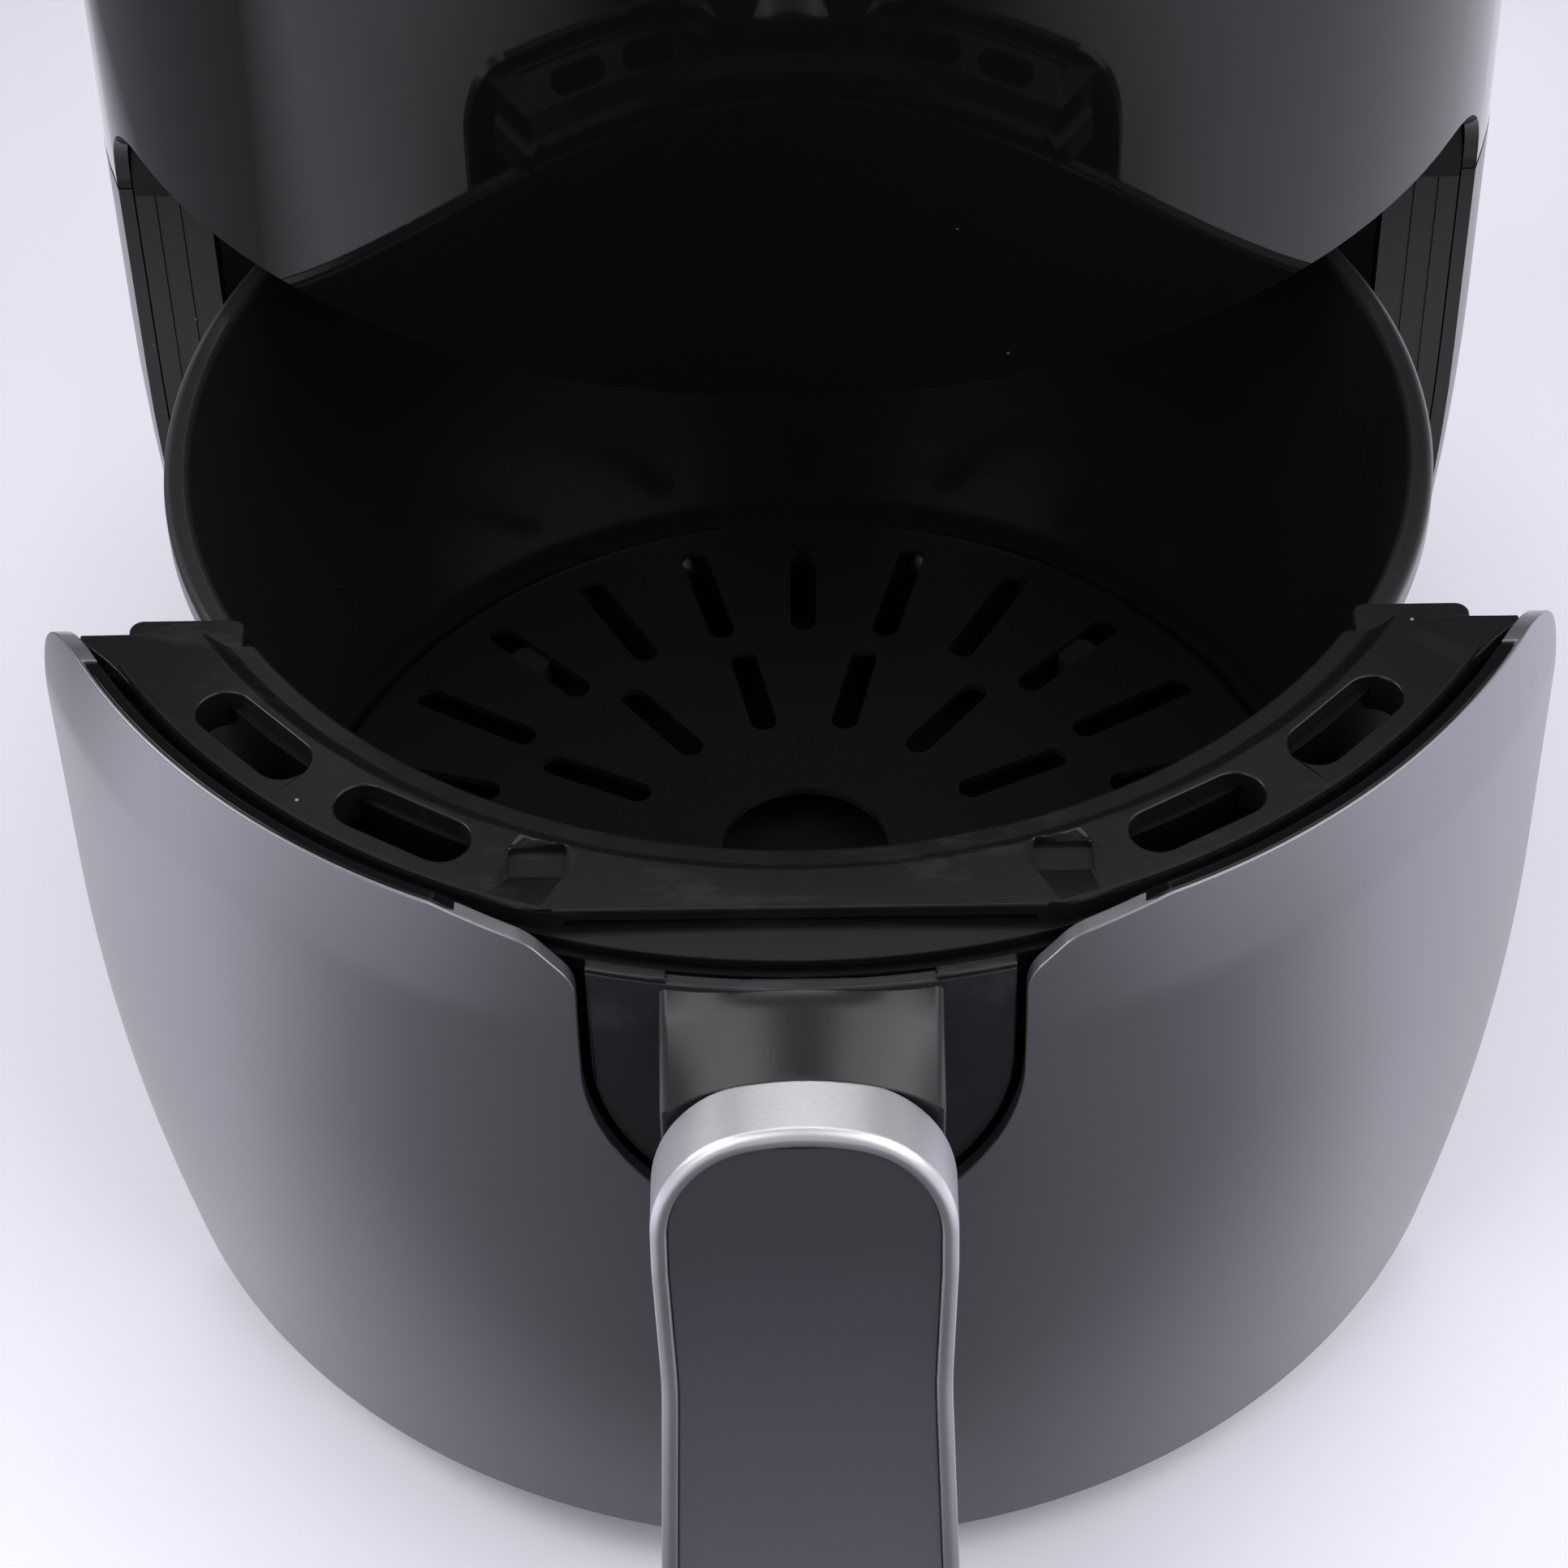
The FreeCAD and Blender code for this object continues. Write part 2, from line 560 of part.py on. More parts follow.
def top_cover():
    cover = body("top_cover")
    crown = "(body_height - 5)"
    revolve(cover, outline(sketch(cover, "XZ_Plane"), [
        (0, "body_height"), ("body_radius", crown, "17"), ("body_radius", "cover_line + fit_gap"),
        (CASING_INNER, "cover_line + fit_gap"), (CASING_INNER + " - fit_gap", "cover_line + fit_gap"),
        (CASING_INNER + " - fit_gap", "cover_line - 6"), (CASING_INNER + " - 2.3", "cover_line - 6"),
        (CASING_INNER + " - 2.3", crown + " - casing_wall", "12"), (0, "body_height - casing_wall")]))
    return node(cover, "top_cover")


def cable_gland():
    gland = body("cable_gland")
    turned = "barrel_inset * (barrel_turn - gland_rise) / (barrel_turn - foot_height)"
    wall = f"sqrt((body_radius - {turned}) ^ 2 - gland_side ^ 2)"
    revolve(gland, outline(sketch(gland, "XZ_Plane"), [
        ("3.5", f"{wall} - 12"), ("gland_radius + 2.5", f"{wall} - 12"), ("gland_radius + 2.5", f"{wall} - 9"),
        ("gland_radius", f"{wall} - 9"), ("gland_radius", f"{wall} + 4"), ("5", f"{wall} + gland_reach"),
        ("3.5", f"{wall} + gland_reach")]))
    gland.Placement = Placement(Vector(), Rotation(Vector(1, 0, 0), -90))
    bind(gland, Placement__Base__x="-gland_side", Placement__Base__z="gland_rise")
    return node(gland, "cable_gland")


# housing: cavity


def cavity_floor():
    floor = body("cavity_floor")
    pad_sketch = circle(sketch(floor, "XY_Plane", BASE_TOP), 0, 0, "drum_radius + 2")
    pad(floor, pad_sketch, "floor_thick")
    rails = sketch(floor, "XY_Plane", FLOOR_TOP)
    for side in (-1, 1):
        inner = f"{side} * (rail_spacing - rail_width) / 2"
        outer = f"{side} * (rail_spacing + rail_width) / 2"
        outline(rails, [(inner, "-rail_half", "3"), (outer, "-rail_half", "3"), (outer, "rail_half", "3"),
                        (inner, "rail_half", "3")])
    pad(floor, rails, f"{PAN_FLOOR} - pan_wall - runner_height - fit_gap - {FLOOR_TOP}")
    holes = sketch(floor, "XY_Plane")
    for x, y in FLOOR_SCREWS:
        circle(holes, x, y, "1.6")
    pocket(floor, holes, both=True)
    return node(floor, "cavity_floor")


def inner_frame():
    """The satin moulding behind the panel: two pillars and the ring that joins them."""
    pillars = body("pillars")
    wall = CASING_INNER + " - fit_gap"
    plan = sketch(pillars, "XY_Plane", BASE_TOP)
    for side in (-1, 1):
        outline(plan, [
            (f"{side} * mouth_half", "-mouth_plane"), (f"{side} * (body_radius - 8)", "-mouth_plane"),
            (f"{side} * (body_radius - 8)", "-mouth_plane + pillar_thick"),
            (f"{side} * (drum_radius + sheet_steel + fit_gap + 2.4)", "-mouth_plane + pillar_thick"),
            (f"{side} * (drum_radius + sheet_steel + fit_gap + 2.4)", "-mouth_plane + 24"),
            (f"{side} * (drum_radius + sheet_steel + fit_gap)", "-mouth_plane + 24"),
            (f"{side} * (drum_radius + sheet_steel + fit_gap)", "-mouth_plane + pillar_thick"),
            (f"{side} * mouth_half", "-mouth_plane + pillar_thick")])
    pad(pillars, plan, f"{CEILING} - {BASE_TOP}")
    # above the shoulder line the pillars lean back
    pocket(pillars, outline(sketch(pillars, "YZ_Plane"), [
        ("-mouth_plane - 5", "rim_height - 14"), ("-mouth_plane", "rim_height - 14"),
        ("-mouth_plane + pillar_thick - 2", CEILING), ("-mouth_plane - 5", CEILING)]), both=True)
    # two shallow flutes run down each pillar
    for side in (-1, 1):
        for step in (4.5, 9):
            pocket(pillars, outline(sketch(pillars, "XY_Plane", "rim_height - 14"), [
                (f"{side} * (mouth_half + {step})", "-mouth_plane - 1"),
                (f"{side} * (mouth_half + {step} + 1.2)", "-mouth_plane - 1"),
                (f"{side} * (mouth_half + {step} + 1.2)", "-mouth_plane + 0.6"),
                (f"{side} * (mouth_half + {step})", "-mouth_plane + 0.6")]))
    bore = circle(sketch(pillars, "XZ_Plane"), "plunger_side", "plunger_rise", "plunger_radius + fit_gap")
    pocket(pillars, bore, flip=True)
    core = body("pillar_limits")
    revolve(core, outline(sketch(core, "XZ_Plane"), [
        (0, BASE_TOP), *barrel(wall, BASE_TOP, CEILING), (0, CEILING)]))
    ring = body("lintel_ring")
    revolve(ring, outline(sketch(ring, "XZ_Plane"), [
        ("dish_radius + 6", CEILING), (wall, CEILING), (wall, LINTEL_TOP + " + 8"),
        (wall + " - 2", LINTEL_TOP + " + 8"), (wall + " - 2", LINTEL_TOP), ("dish_radius + 6", LINTEL_TOP)]))
    frame = together("Part::MultiFuse", "frame_fused", [common("pillars_fitted", pillars, core), ring])
    return node(frame, "inner_frame")


def drum():
    """Steel wall round the pan: half a circle at the back, straight beside the mouth."""
    wall = body("cavity_drum")
    front = "-mouth_plane + pillar_thick + fit_gap"
    outside, inside = "(drum_radius + sheet_steel)", "drum_radius"
    pad(wall, u_shape(sketch(wall, "XY_Plane", FLOOR_TOP), outside, front), f"{CEILING} - {FLOOR_TOP}")
    pocket(wall, u_shape(sketch(wall, "XY_Plane", FLOOR_TOP), inside, front + " - 1"), both=True)
    return node(wall, "cavity_drum")


def u_shape(drawing, radius, front):
    """A half circle about the axis, closed by straight sides running forward to a plane."""
    return outline(drawing, [(radius, front), (radius, radius, f"{radius} - 0.1"),
                             (f"-{radius}", radius, f"{radius} - 0.1"), (f"-{radius}", front)])


def heater_dish():
    dish = body("heater_dish")
    revolve(dish, outline(sketch(dish, "XZ_Plane"), [
        ("dish_radius", LINTEL_TOP), ("drum_radius + 6", LINTEL_TOP),
        ("drum_radius + 6", LINTEL_TOP + " + sheet_steel"),
        ("dish_radius + sheet_steel", LINTEL_TOP + " + sheet_steel"),
        ("dish_radius - 4", DISH_TOP, "10"), ("shaft_radius + 4", DISH_TOP),
        ("shaft_radius + 4", DISH_TOP + " - sheet_steel"),
        ("dish_radius - 4 - sheet_steel", DISH_TOP + " - sheet_steel", "9.2")]))
    for x, y in coil_ends():
        pocket(dish, circle(sketch(dish, "XY_Plane", DISH_TOP), x, y, "coil_tube + 0.4"), "4")
    return node(dish, "heater_dish")


def heat_shield():
    shield = body("heat_shield")
    wall = "(dish_radius + shield_gap)"
    flange = LINTEL_TOP + " + sheet_steel"
    revolve(shield, outline(sketch(shield, "XZ_Plane"), [
        (wall, flange), ("drum_radius + 6", flange), ("drum_radius + 6", flange + " + sheet_steel"),
        (wall + " + sheet_steel", flange + " + sheet_steel"),
        (wall + " + sheet_steel", SHIELD_TOP, "6"), ("shaft_radius + 6", SHIELD_TOP),
        ("shaft_radius + 6", SHIELD_TOP + " - sheet_steel"), (wall, SHIELD_TOP + " - sheet_steel", "5.2")]))
    for x, y in coil_ends():
        pocket(shield, circle(sketch(shield, "XY_Plane", SHIELD_TOP), x, y, "coil_tube + 1.5"), "4")
    return node(shield, "heat_shield")


# housing: heater, fans and motor


def coil_ends():
    """Plan places of the heating tube's two terminals."""
    return [("coil_outer * cos(coil_gap_angle)", "coil_outer * sin(coil_gap_angle)"),
            ("coil_outer", "coil_inner * sin(6) - 7")]


def heating_coil():
    """A steel tube bent into two turns, with a U bend between them and both ends turned up."""
    outer, inner, gap = value("coil_outer"), value("coil_inner"), math.radians(value("coil_gap_angle"))
    bend, tube = 7, value("coil_tube")
    height = value(CEILING + " + coil_rise")
    top = value(SHIELD_TOP + " + 8")

    def at(radius, angle):
        return Vector(radius * math.cos(angle), radius * math.sin(angle), height)

    end = math.radians(6)
    uturn = 2 * math.pi - gap
    middle = (outer + inner) / 2
    tip = at(middle, uturn) + Vector(-math.sin(uturn), math.cos(uturn), 0) * (outer - inner) / 2
    foot = at(inner, end)
    corner = Vector(foot.x + bend, foot.y - bend, height)
    knee = Vector(foot.x + bend * (1 - math.cos(math.pi / 4)), foot.y - bend * math.sin(math.pi / 4), height)
    last = Vector(outer, foot.y - bend, height)
    edges = [Part.Arc(at(outer, gap), at(outer, math.pi), at(outer, uturn)).toShape(),
             Part.Arc(at(outer, uturn), tip, at(inner, uturn)).toShape(),
             Part.Arc(at(inner, uturn), at(inner, math.pi), foot).toShape(),
             Part.Arc(foot, knee, corner).toShape(),
             Part.LineSegment(corner, last).toShape()]
    start = at(outer, gap)
    section = Part.Wire(Part.Circle(start, Vector(-math.sin(gap), math.cos(gap), 0), tube).toShape())
    turns = Part.Wire(edges).makePipeShell([section], True, True)
    legs = []
    for place in (start, last):
        legs.append(Part.makeSphere(tube, place))
        legs.append(Part.makeCylinder(tube, top - height, place))
    coil = doc.addObject("Part::Feature", "coil_tube_solid")
    coil.Shape = turns.fuse(legs)
    return node(coil, "heating_coil")


def coil_clips():
    """Three steel straps that hang the tube from the dish."""
    strap = body("coil_strap")
    low, high = f"({CEILING} + coil_rise - coil_tube)", f"({DISH_TOP} - sheet_steel)"
    inner, outer = "(coil_inner - coil_tube - 2)", "(coil_outer + coil_tube + 0.3)"
    side = outline(sketch(strap, "XZ_Plane", turn=60), [
        (inner, low + " - 1"), (outer + " + 1", low + " - 1"), (outer + " + 1", high), (outer + " - 8", high),
        (outer + " - 8", high + " - 1"), (outer, high + " - 1"), (outer, low), (inner, low)])
    polar(strap, pad(strap, side, "8", both=True), 3)
    return node(strap, "coil_clips")


def coil_guard():
    """Round wires welded to a cross that tucks under the dish's flange."""
    guard = body("coil_guard")
    wire = 1.2
    level = f"({LINTEL_TOP} - {wire})"
    for step in range(1, 6):
        radius = f"((dish_radius - 3) * {step} / 5)"
        hoop = sketch(guard, "XZ_Plane")
        outline(hoop, [(f"{radius} + {x} * {wire}", f"{level} + {z} * {wire}")
                       for x, z in ((-1, 0), (0, -1), (1, 0), (0, 1))])
        revolve(guard, hoop)
    bars = sketch(guard, "XY_Plane", f"{level} - {wire}")
    outline(bars, [(f"-{wire}", "-(dish_radius + 5.5)"), (f"{wire}", "-(dish_radius + 5.5)"),
                   (f"{wire}", "dish_radius + 5.5"), (f"-{wire}", "dish_radius + 5.5")])
    spoke = pad(guard, bars, f"{2 * wire}")
    polar(guard, spoke, 2, 90)
    return node(guard, "coil_guard")


def hot_fan():
    fan = body("hot_fan")
    low = f"({CEILING} + coil_rise + coil_tube + 4)"
    top = f"({low} + fan_height)"
    hub = sketch(fan, "XZ_Plane")
    outline(hub, [("shaft_radius + 0.02", low), ("shaft_radius + 5", low), ("shaft_radius + 8", top + " - 1.2"),
                  ("fan_radius", top + " - 1.2"), ("fan_radius", top), ("shaft_radius + 0.02", top)])
    revolve(fan, hub)
    blade = sketch(fan, "XY_Plane", low)
    outline(blade, [("shaft_radius + 9", "-0.6"), ("fan_radius - 14", "-6.6"), ("fan_radius - 1", "-14"),
                    ("fan_radius - 1.4", "-12.6"), ("fan_radius - 14", "-5.4"), ("shaft_radius + 9", "0.6")])
    polar(fan, pad(fan, blade, "fan_height - 0.6"), 10)
    return node(fan, "hot_fan")


def fan_nut():
    nut = body("fan_nut")
    top = f"({CEILING} + coil_rise + coil_tube + 4)"
    plan = sketch(nut, "XY_Plane", top + " - 3")
    outline(plan, [(f"5.2 * cos({60 * k})", f"5.2 * sin({60 * k})") for k in range(6)])
    circle(plan, 0, 0, "shaft_radius + 0.02")
    pad(nut, plan, "3")
    return node(nut, "fan_nut")


def fan_shaft():
    shaft = body("fan_shaft")
    low = f"({CEILING} + coil_rise + coil_tube)"
    plan = circle(sketch(shaft, "XY_Plane", low), 0, 0, "shaft_radius")
    pad(shaft, plan, f"{SHIELD_TOP} + 22 + motor_height + 6 - {low}")
    return node(shaft, "fan_shaft")


def cooling_fan():
    """Pitched blades on a hub, between the heat shield and the motor."""
    low = SHIELD_TOP + " + 5"
    hub = primitive("Part::Cylinder", "cool_hub", Radius="9", Height="10", Placement__Base__z=low)
    blades = [hub]
    for k in range(7):
        blade = primitive("Part::Box", f"cool_blade_{k}", Length="cool_radius - 7", Width="13", Height="1.4")
        turn = Rotation(Vector(0, 0, 1), 360 / 7 * k)
        pitch = Rotation(Vector(1, 0, 0), 28)
        place = turn.multVec(Vector(7, -6, 0)) + Vector(0, 0, value(low) + 2)
        blade.Placement = Placement(place, turn.multiply(pitch))
        blade.setExpression("Placement.Base.z", linked(low + " + 2"))
        blades.append(blade)
    bore = primitive("Part::Cylinder", "cool_bore", Radius="shaft_radius + 0.02", Height="30",
                     Placement__Base__z=SHIELD_TOP + " - 5")
    return node(cut("cool_bored", together("Part::MultiFuse", "cool_wheel", blades), bore), "cooling_fan")


def motor():
    can = body("motor")
    low = f"({SHIELD_TOP} + 22)"
    top = f"({low} + motor_height)"
    bore = "shaft_radius + shaft_clear"
    revolve(can, outline(sketch(can, "XZ_Plane"), [
        (bore, low), ("motor_radius - 2", low), ("motor_radius", low + " + 3", "2"),
        ("motor_radius", top + " - 4", "3"), ("motor_radius - 12", top), ("9", top), ("9", top + " + 3"),
        (bore, top + " + 3")]))
    holes = sketch(can, "XY_Plane", low)
    for x, y in MOTOR_SCREWS:
        circle(holes, x, y, "1.5")
    pocket(can, holes, "9", flip=True)
    return node(can, "motor")


def motor_bracket():
    """A pressed plate on three legs that stands on the heat shield and carries the motor."""
    bracket = body("motor_bracket")
    top = f"({SHIELD_TOP} + 22)"
    plate = sketch(bracket, "XY_Plane", top + " - 1.2")
    circle(plate, 0, 0, "cool_radius + 8")
    circle(plate, 0, 0, "12")
    pad(bracket, plate, "1.2")
    leg = sketch(bracket, "XZ_Plane")
    outline(leg, [("cool_radius + 5", top + " - 0.6"), ("cool_radius + 5", SHIELD_TOP),
                  ("cool_radius + 16", SHIELD_TOP), ("cool_radius + 16", SHIELD_TOP + " + 1.2"),
                  ("cool_radius + 6.2", SHIELD_TOP + " + 1.2"), ("cool_radius + 6.2", top + " - 0.6")])
    polar(bracket, pad(bracket, leg, "14", both=True), 3)
    holes = sketch(bracket, "XY_Plane", top)
    for x, y in MOTOR_SCREWS:
        circle(holes, x, y, "1.7")
    pocket(bracket, holes, "5")
    return node(bracket, "motor_bracket")


def thermal_cutout():
    disc = primitive("Part::Cylinder", "cutout_disc", Radius="7", Height="7",
                     Placement__Base__x="-dish_radius + 20", Placement__Base__z=SHIELD_TOP)
    return node(disc, "thermal_cutout")


# housing: electrics


def control_carrier():
    """Plastic frame behind the touch window, shaped to the inside of the panel."""
    reach = body("carrier_reach")
    pad(reach, circle(sketch(reach, "XY_Plane", "window_low - 5"), 0, 0, CASING_INNER),
        "window_high - window_low + 10")
    ring = body("carrier_ring")
    plan = sketch(ring, "XZ_Plane", "carrier_plane")
    for inside in ("0", "4"):
        outline(plan, [(f"-(window_half - 8 - {inside})", f"window_low - 2 + {inside}"),
                       (f"window_half - 8 - {inside}", f"window_low - 2 + {inside}"),
                       (f"window_half - 8 - {inside}", f"window_high - {inside}"),
                       (f"-(window_half - 8 - {inside})", f"window_high - {inside}")])
    pad(ring, plan, "40")
    return node(common("carrier_fitted", ring, reach), "control_carrier")


def control_board():
    board = body("control_board")
    plan = sketch(board, "XZ_Plane", "carrier_plane - 1.6")
    outline(plan, [("-(window_half - 8)", "window_low - 2"), ("window_half - 8", "window_low - 2"),
                   ("window_half - 8", "window_high"), ("-(window_half - 8)", "window_high")])
    pad(board, plan, "1.6")
    chips = sketch(board, "XZ_Plane", "carrier_plane - 4")
    outline(chips, [("-8", "window_low + 8"), ("8", "window_low + 8"), ("8", "window_low + 24"),
                    ("-8", "window_low + 24")])
    outline(chips, [("24", "window_low + 6"), ("40", "window_low + 6"), ("40", "window_low + 18"),
                    ("24", "window_low + 18")])
    pad(board, chips, "3")
    return node(board, "control_board")


def power_board():
    """Mains board on four posts in front of the motor."""
    board = body("power_board")
    level = SHIELD_TOP + " + 6"
    near, far = "(-dish_radius + 2)", "(-dish_radius + 34)"
    pad(board, outline(sketch(board, "XY_Plane", level), [
        ("-36", near), ("36", near), ("36", far), ("-36", far)]), "1.6")
    posts = sketch(board, "XY_Plane", SHIELD_TOP)
    for x in (-31, 31):
        for y in (near + " + 5", far + " - 5"):
            circle(posts, x, y, "2.5")
    pad(board, posts, "6.5")
    parts = sketch(board, "XY_Plane", level + " + 1")
    outline(parts, [("-28", near + " + 6"), ("-12", near + " + 6"), ("-12", far + " - 8"), ("-28", far + " - 8")])
    circle(parts, "4", near + " + 16", "7")
    outline(parts, [("20", near + " + 4"), ("24", near + " + 4"), ("24", far + " - 4"), ("20", far + " - 4")])
    pad(board, parts, "16")
    return node(board, "power_board")


def interlock_switch():
    switch = body("interlock_switch")
    back = "(mouth_plane - pillar_thick)"
    plan = sketch(switch, "XY_Plane", "plunger_rise - 10")
    outline(plan, [("plunger_side - 3.2", f"-{back}"), ("plunger_side + 3.2", f"-{back}"),
                   ("plunger_side + 3.2", f"-{back} + 12"), ("plunger_side - 3.2", f"-{back} + 12")])
    pad(switch, plan, "20")
    pocket(switch, circle(sketch(switch, "XZ_Plane", f"{back} - 7"), "plunger_side", "plunger_rise",
                          "plunger_radius + fit_gap"), flip=True)
    return node(switch, "interlock_switch")


def interlock_plunger():
    plunger = body("interlock_plunger")
    plan = circle(sketch(plunger, "XZ_Plane", "mouth_plane - pillar_thick - 3"), "plunger_side", "plunger_rise",
                  "plunger_radius")
    pad(plunger, plan, "pillar_thick + plunger_travel + 3")
    return node(plunger, "interlock_plunger")


FLOOR_SCREWS = [(f"{x} * screw_spread", f"{y} * screw_spread") for x in (-1, 1) for y in (-1, 1)]
MOTOR_SCREWS = [(f"(motor_radius - 6) * cos({turn})", f"(motor_radius - 6) * sin({turn})")
                for turn in (30, 150, 270)]


def base_screws():
    places = [(x, y, "foot_height") for x, y in FLOOR_SCREWS]
    return screws("base_screws", places, "1.6", "base_thick + floor_thick + 2")


def motor_screws():
    places = [(x, y, f"{SHIELD_TOP} + 22 - 1.2") for x, y in MOTOR_SCREWS]
    return screws("motor_screws", places, "1.5", "9")


# drawer


def drawer_front():
    front = body("drawer_front")
    top = "(rim_height + front_rise)"
    inner = f"({SHELL_RADIUS} - front_wall)"
    revolve(front, outline(sketch(front, "XZ_Plane"), [
        (f"{SHELL_RADIUS} - barrel_inset", "front_foot", "1.4"),
        (SHELL_RADIUS, "barrel_turn", "barrel_round"), (SHELL_RADIUS, "rim_height - 12", "60"),
        (f"{SHELL_RADIUS} - front_lean", top, "1.2"), (f"{inner} - front_lean", top, "1.2"),
        (inner, "rim_height - 12", "60"), (inner, "barrel_turn", "barrel_round"),
        (f"{inner} - barrel_inset + 0.6", "front_foot + 3"), (f"{inner} - barrel_inset - 5", "front_foot + 3"),
        (f"{inner} - barrel_inset - 5", "front_foot")]))
    keep_front(front, WING_PLANE, top, "wing_round")
    notch_low = "(rim_height - notch_centre - notch_half)"
    pocket(front, outline(sketch(front, "XZ_Plane"), [
        ("-notch_half", notch_low, "notch_half - 0.1"), ("notch_half", notch_low, "notch_half - 0.1"),
        ("notch_half", "rim_height - 1", "6"), ("notch_half + 7", "rim_height + 5.2", "8"),
        ("notch_half + 22", "rim_height + front_rise"), ("notch_half + 22", "rim_height + 30"),
        ("-(notch_half + 22)", "rim_height + 30"), ("-(notch_half + 22)", "rim_height + front_rise"),
        ("-(notch_half + 7)", "rim_height + 5.2", "8"), ("-notch_half", "rim_height - 1", "6")]), flip=True)
    return node(front, "drawer_front", drawer=True)


def drawer_liner():
    """Inner moulding of the drawer: a channel between the pan and the outer front."""
    liner = body("drawer_liner")
    web = "(rim_height - 58)"
    revolve(liner, outline(sketch(liner, "XZ_Plane"), [
        ("liner_inner", "front_foot + 9"), ("liner_inner + liner_wall", "front_foot + 9"),
        ("liner_inner + liner_wall", web), (f"{SHELL_RADIUS} - front_wall - fit_gap", web),
        (f"{SHELL_RADIUS} - front_wall - fit_gap", web + " + 3"), ("liner_outer", web + " + 3"),
        ("liner_outer", "rim_height + 0.5"),
        ("liner_outer - liner_wall", "rim_height + 0.5"),
        ("liner_outer - liner_wall", web + " + liner_wall", "1"),
        ("liner_inner + liner_wall", web + " + liner_wall"), ("liner_inner + liner_wall", "rim_height + 3.4"),
        ("liner_inner", "rim_height + 3.4")]))
    keep_front(liner, WING_PLANE + " + fit_gap", "rim_height + 3.4", "wing_round + 4")
    pocket(liner, screw_holes(liner, "1.8"), flip=True)
    return node(liner, "drawer_liner", drawer=True)


def vent_frame():
    deck = body("deck")
    top, lip = "(rim_height + deck_rise)", "(rim_height + lip_rise)"
    revolve(deck, outline(sketch(deck, "XZ_Plane"), [
        ("lip_radius", "rim_height + fit_gap"), ("lip_radius", lip, "1"), ("lip_radius + 4.2", lip),
        ("lip_radius + 7.4", top, "1"), ("deck_radius", top + " - 0.6", "2.4"), ("deck_radius", "rim_height - 8"),
        ("deck_radius - 2", "rim_height - 8"), ("deck_radius - 2", top + " - deck_thick - 0.6"),
        ("lip_radius + 8.6", top + " - deck_thick"), ("lip_radius + 5.4", "rim_height + fit_gap")]))
    keep_front(deck, "ledge_plane")
    # lower step in front of the straight front edge
    pocket(deck, outline(sketch(deck, "YZ_Plane"), [
        ("-deck_chord", lip + " - 1"), ("-2 * deck_radius", lip + " - 1"), ("-2 * deck_radius", top + " + 5"),
        ("-deck_chord", top + " + 5")]), both=True)
    for side in (-1, 1):
        for angle in ("slot_inner_angle", "slot_outer_angle"):
            half = "((slot_length - slot_width) / 2)"
            x, y = f"{side} * slot_radius * sin({angle})", f"-slot_radius * cos({angle})"
            along = f"{side} * {half} * cos({angle})", f"{half} * sin({angle})"
            opening = slot(sketch(deck, "XY_Plane", "rim_height - 4"), f"{x} - {along[0]}", f"{y} - {along[1]}",
                           f"{x} + {along[0]}", f"{y} + {along[1]}", "slot_width / 2")
            pocket(deck, opening, flip=True)
        pocket(deck, outline(sketch(deck, "XY_Plane", top + " - 1.4"), [
            (f"{side} * recess_inner", "-recess_front"), (f"{side} * recess_outer", "-recess_front"),
            (f"{side} * recess_outer", "-recess_back"), (f"{side} * recess_inner", "-recess_back")]), flip=True)
    low, under = f"({lip} - ledge_drop)", f"({top} - 1.2)"
    step = body("front_step_side")
    pad(step, outline(sketch(step, "YZ_Plane"), [
        ("-deck_chord + 2.2", low), ("-2 * deck_radius", low), ("-2 * deck_radius", lip),
        ("-deck_chord + fit_gap", lip), ("-deck_chord + fit_gap", under), ("-deck_chord + 2.2", under)]),
        "deck_radius", both=True)
    edge = body("front_step_edge")
    revolve(edge, outline(sketch(edge, "XZ_Plane"), [
        (0, low), ("deck_radius + 0.8", low), ("deck_radius + 0.8", lip), ("deck_radius - 1", lip),
        ("deck_radius - 1", under), (0, under)]))
    pieces = [deck, common("front_step", step, edge)]
    # each rear ledge carries on from the lip, below the end of the slotted part
    for side in (-1, 1):
        ledge = body(f"ledge_side_{side}")
        pad(ledge, outline(sketch(ledge, "YZ_Plane"), [
            ("-ledge_plane - 2.2", low), ("-deck_back + 1", low), ("-deck_back + 1", lip),
            ("-ledge_plane - fit_gap", lip), ("-ledge_plane - fit_gap", under), ("-ledge_plane - 2.2", under)]),
            "4 * body_radius", both=True)
        plan = body(f"ledge_plan_{side}")
        pad(plan, outline(sketch(plan, "XY_Plane"), [
            (f"{side} * ledge_inner", "-ledge_plane - 3"), (f"{side} * ledge_outer", "-ledge_plane - 3"),
            (f"{side} * ledge_outer", "-deck_back", "2.3"),
            (f"{side} * (ledge_inner + 2)", "-deck_back")]), "2 * rim_height")
        pieces.append(common(f"ledge_{side}", ledge, plan))
    return node(together("Part::MultiFuse", "deck_joined", pieces), "vent_frame", drawer=True)


def pan():
    pot = body("pan")
    rim, floor = "rim_height", PAN_FLOOR
    revolve(pot, outline(sketch(pot, "XZ_Plane"), [
        (0, floor), ("pan_foot", floor, "pan_corner"), ("pan_mouth", rim + " - 0.01", "1"),
        ("pan_rim_radius", rim, "1.4"), ("pan_rim_radius", rim + " - rim_drop"),
        ("pan_rim_radius - pan_wall", rim + " - rim_drop"), ("pan_rim_radius - pan_wall", rim + " - pan_wall", "0.6"),
        ("pan_mouth + pan_wall", rim + " - pan_wall", "0.8"),
        ("pan_foot + pan_wall", floor + " - pan_wall", "pan_corner + pan_wall"), (0, floor + " - pan_wall")]))
    return node(pot, "pan", drawer=True)


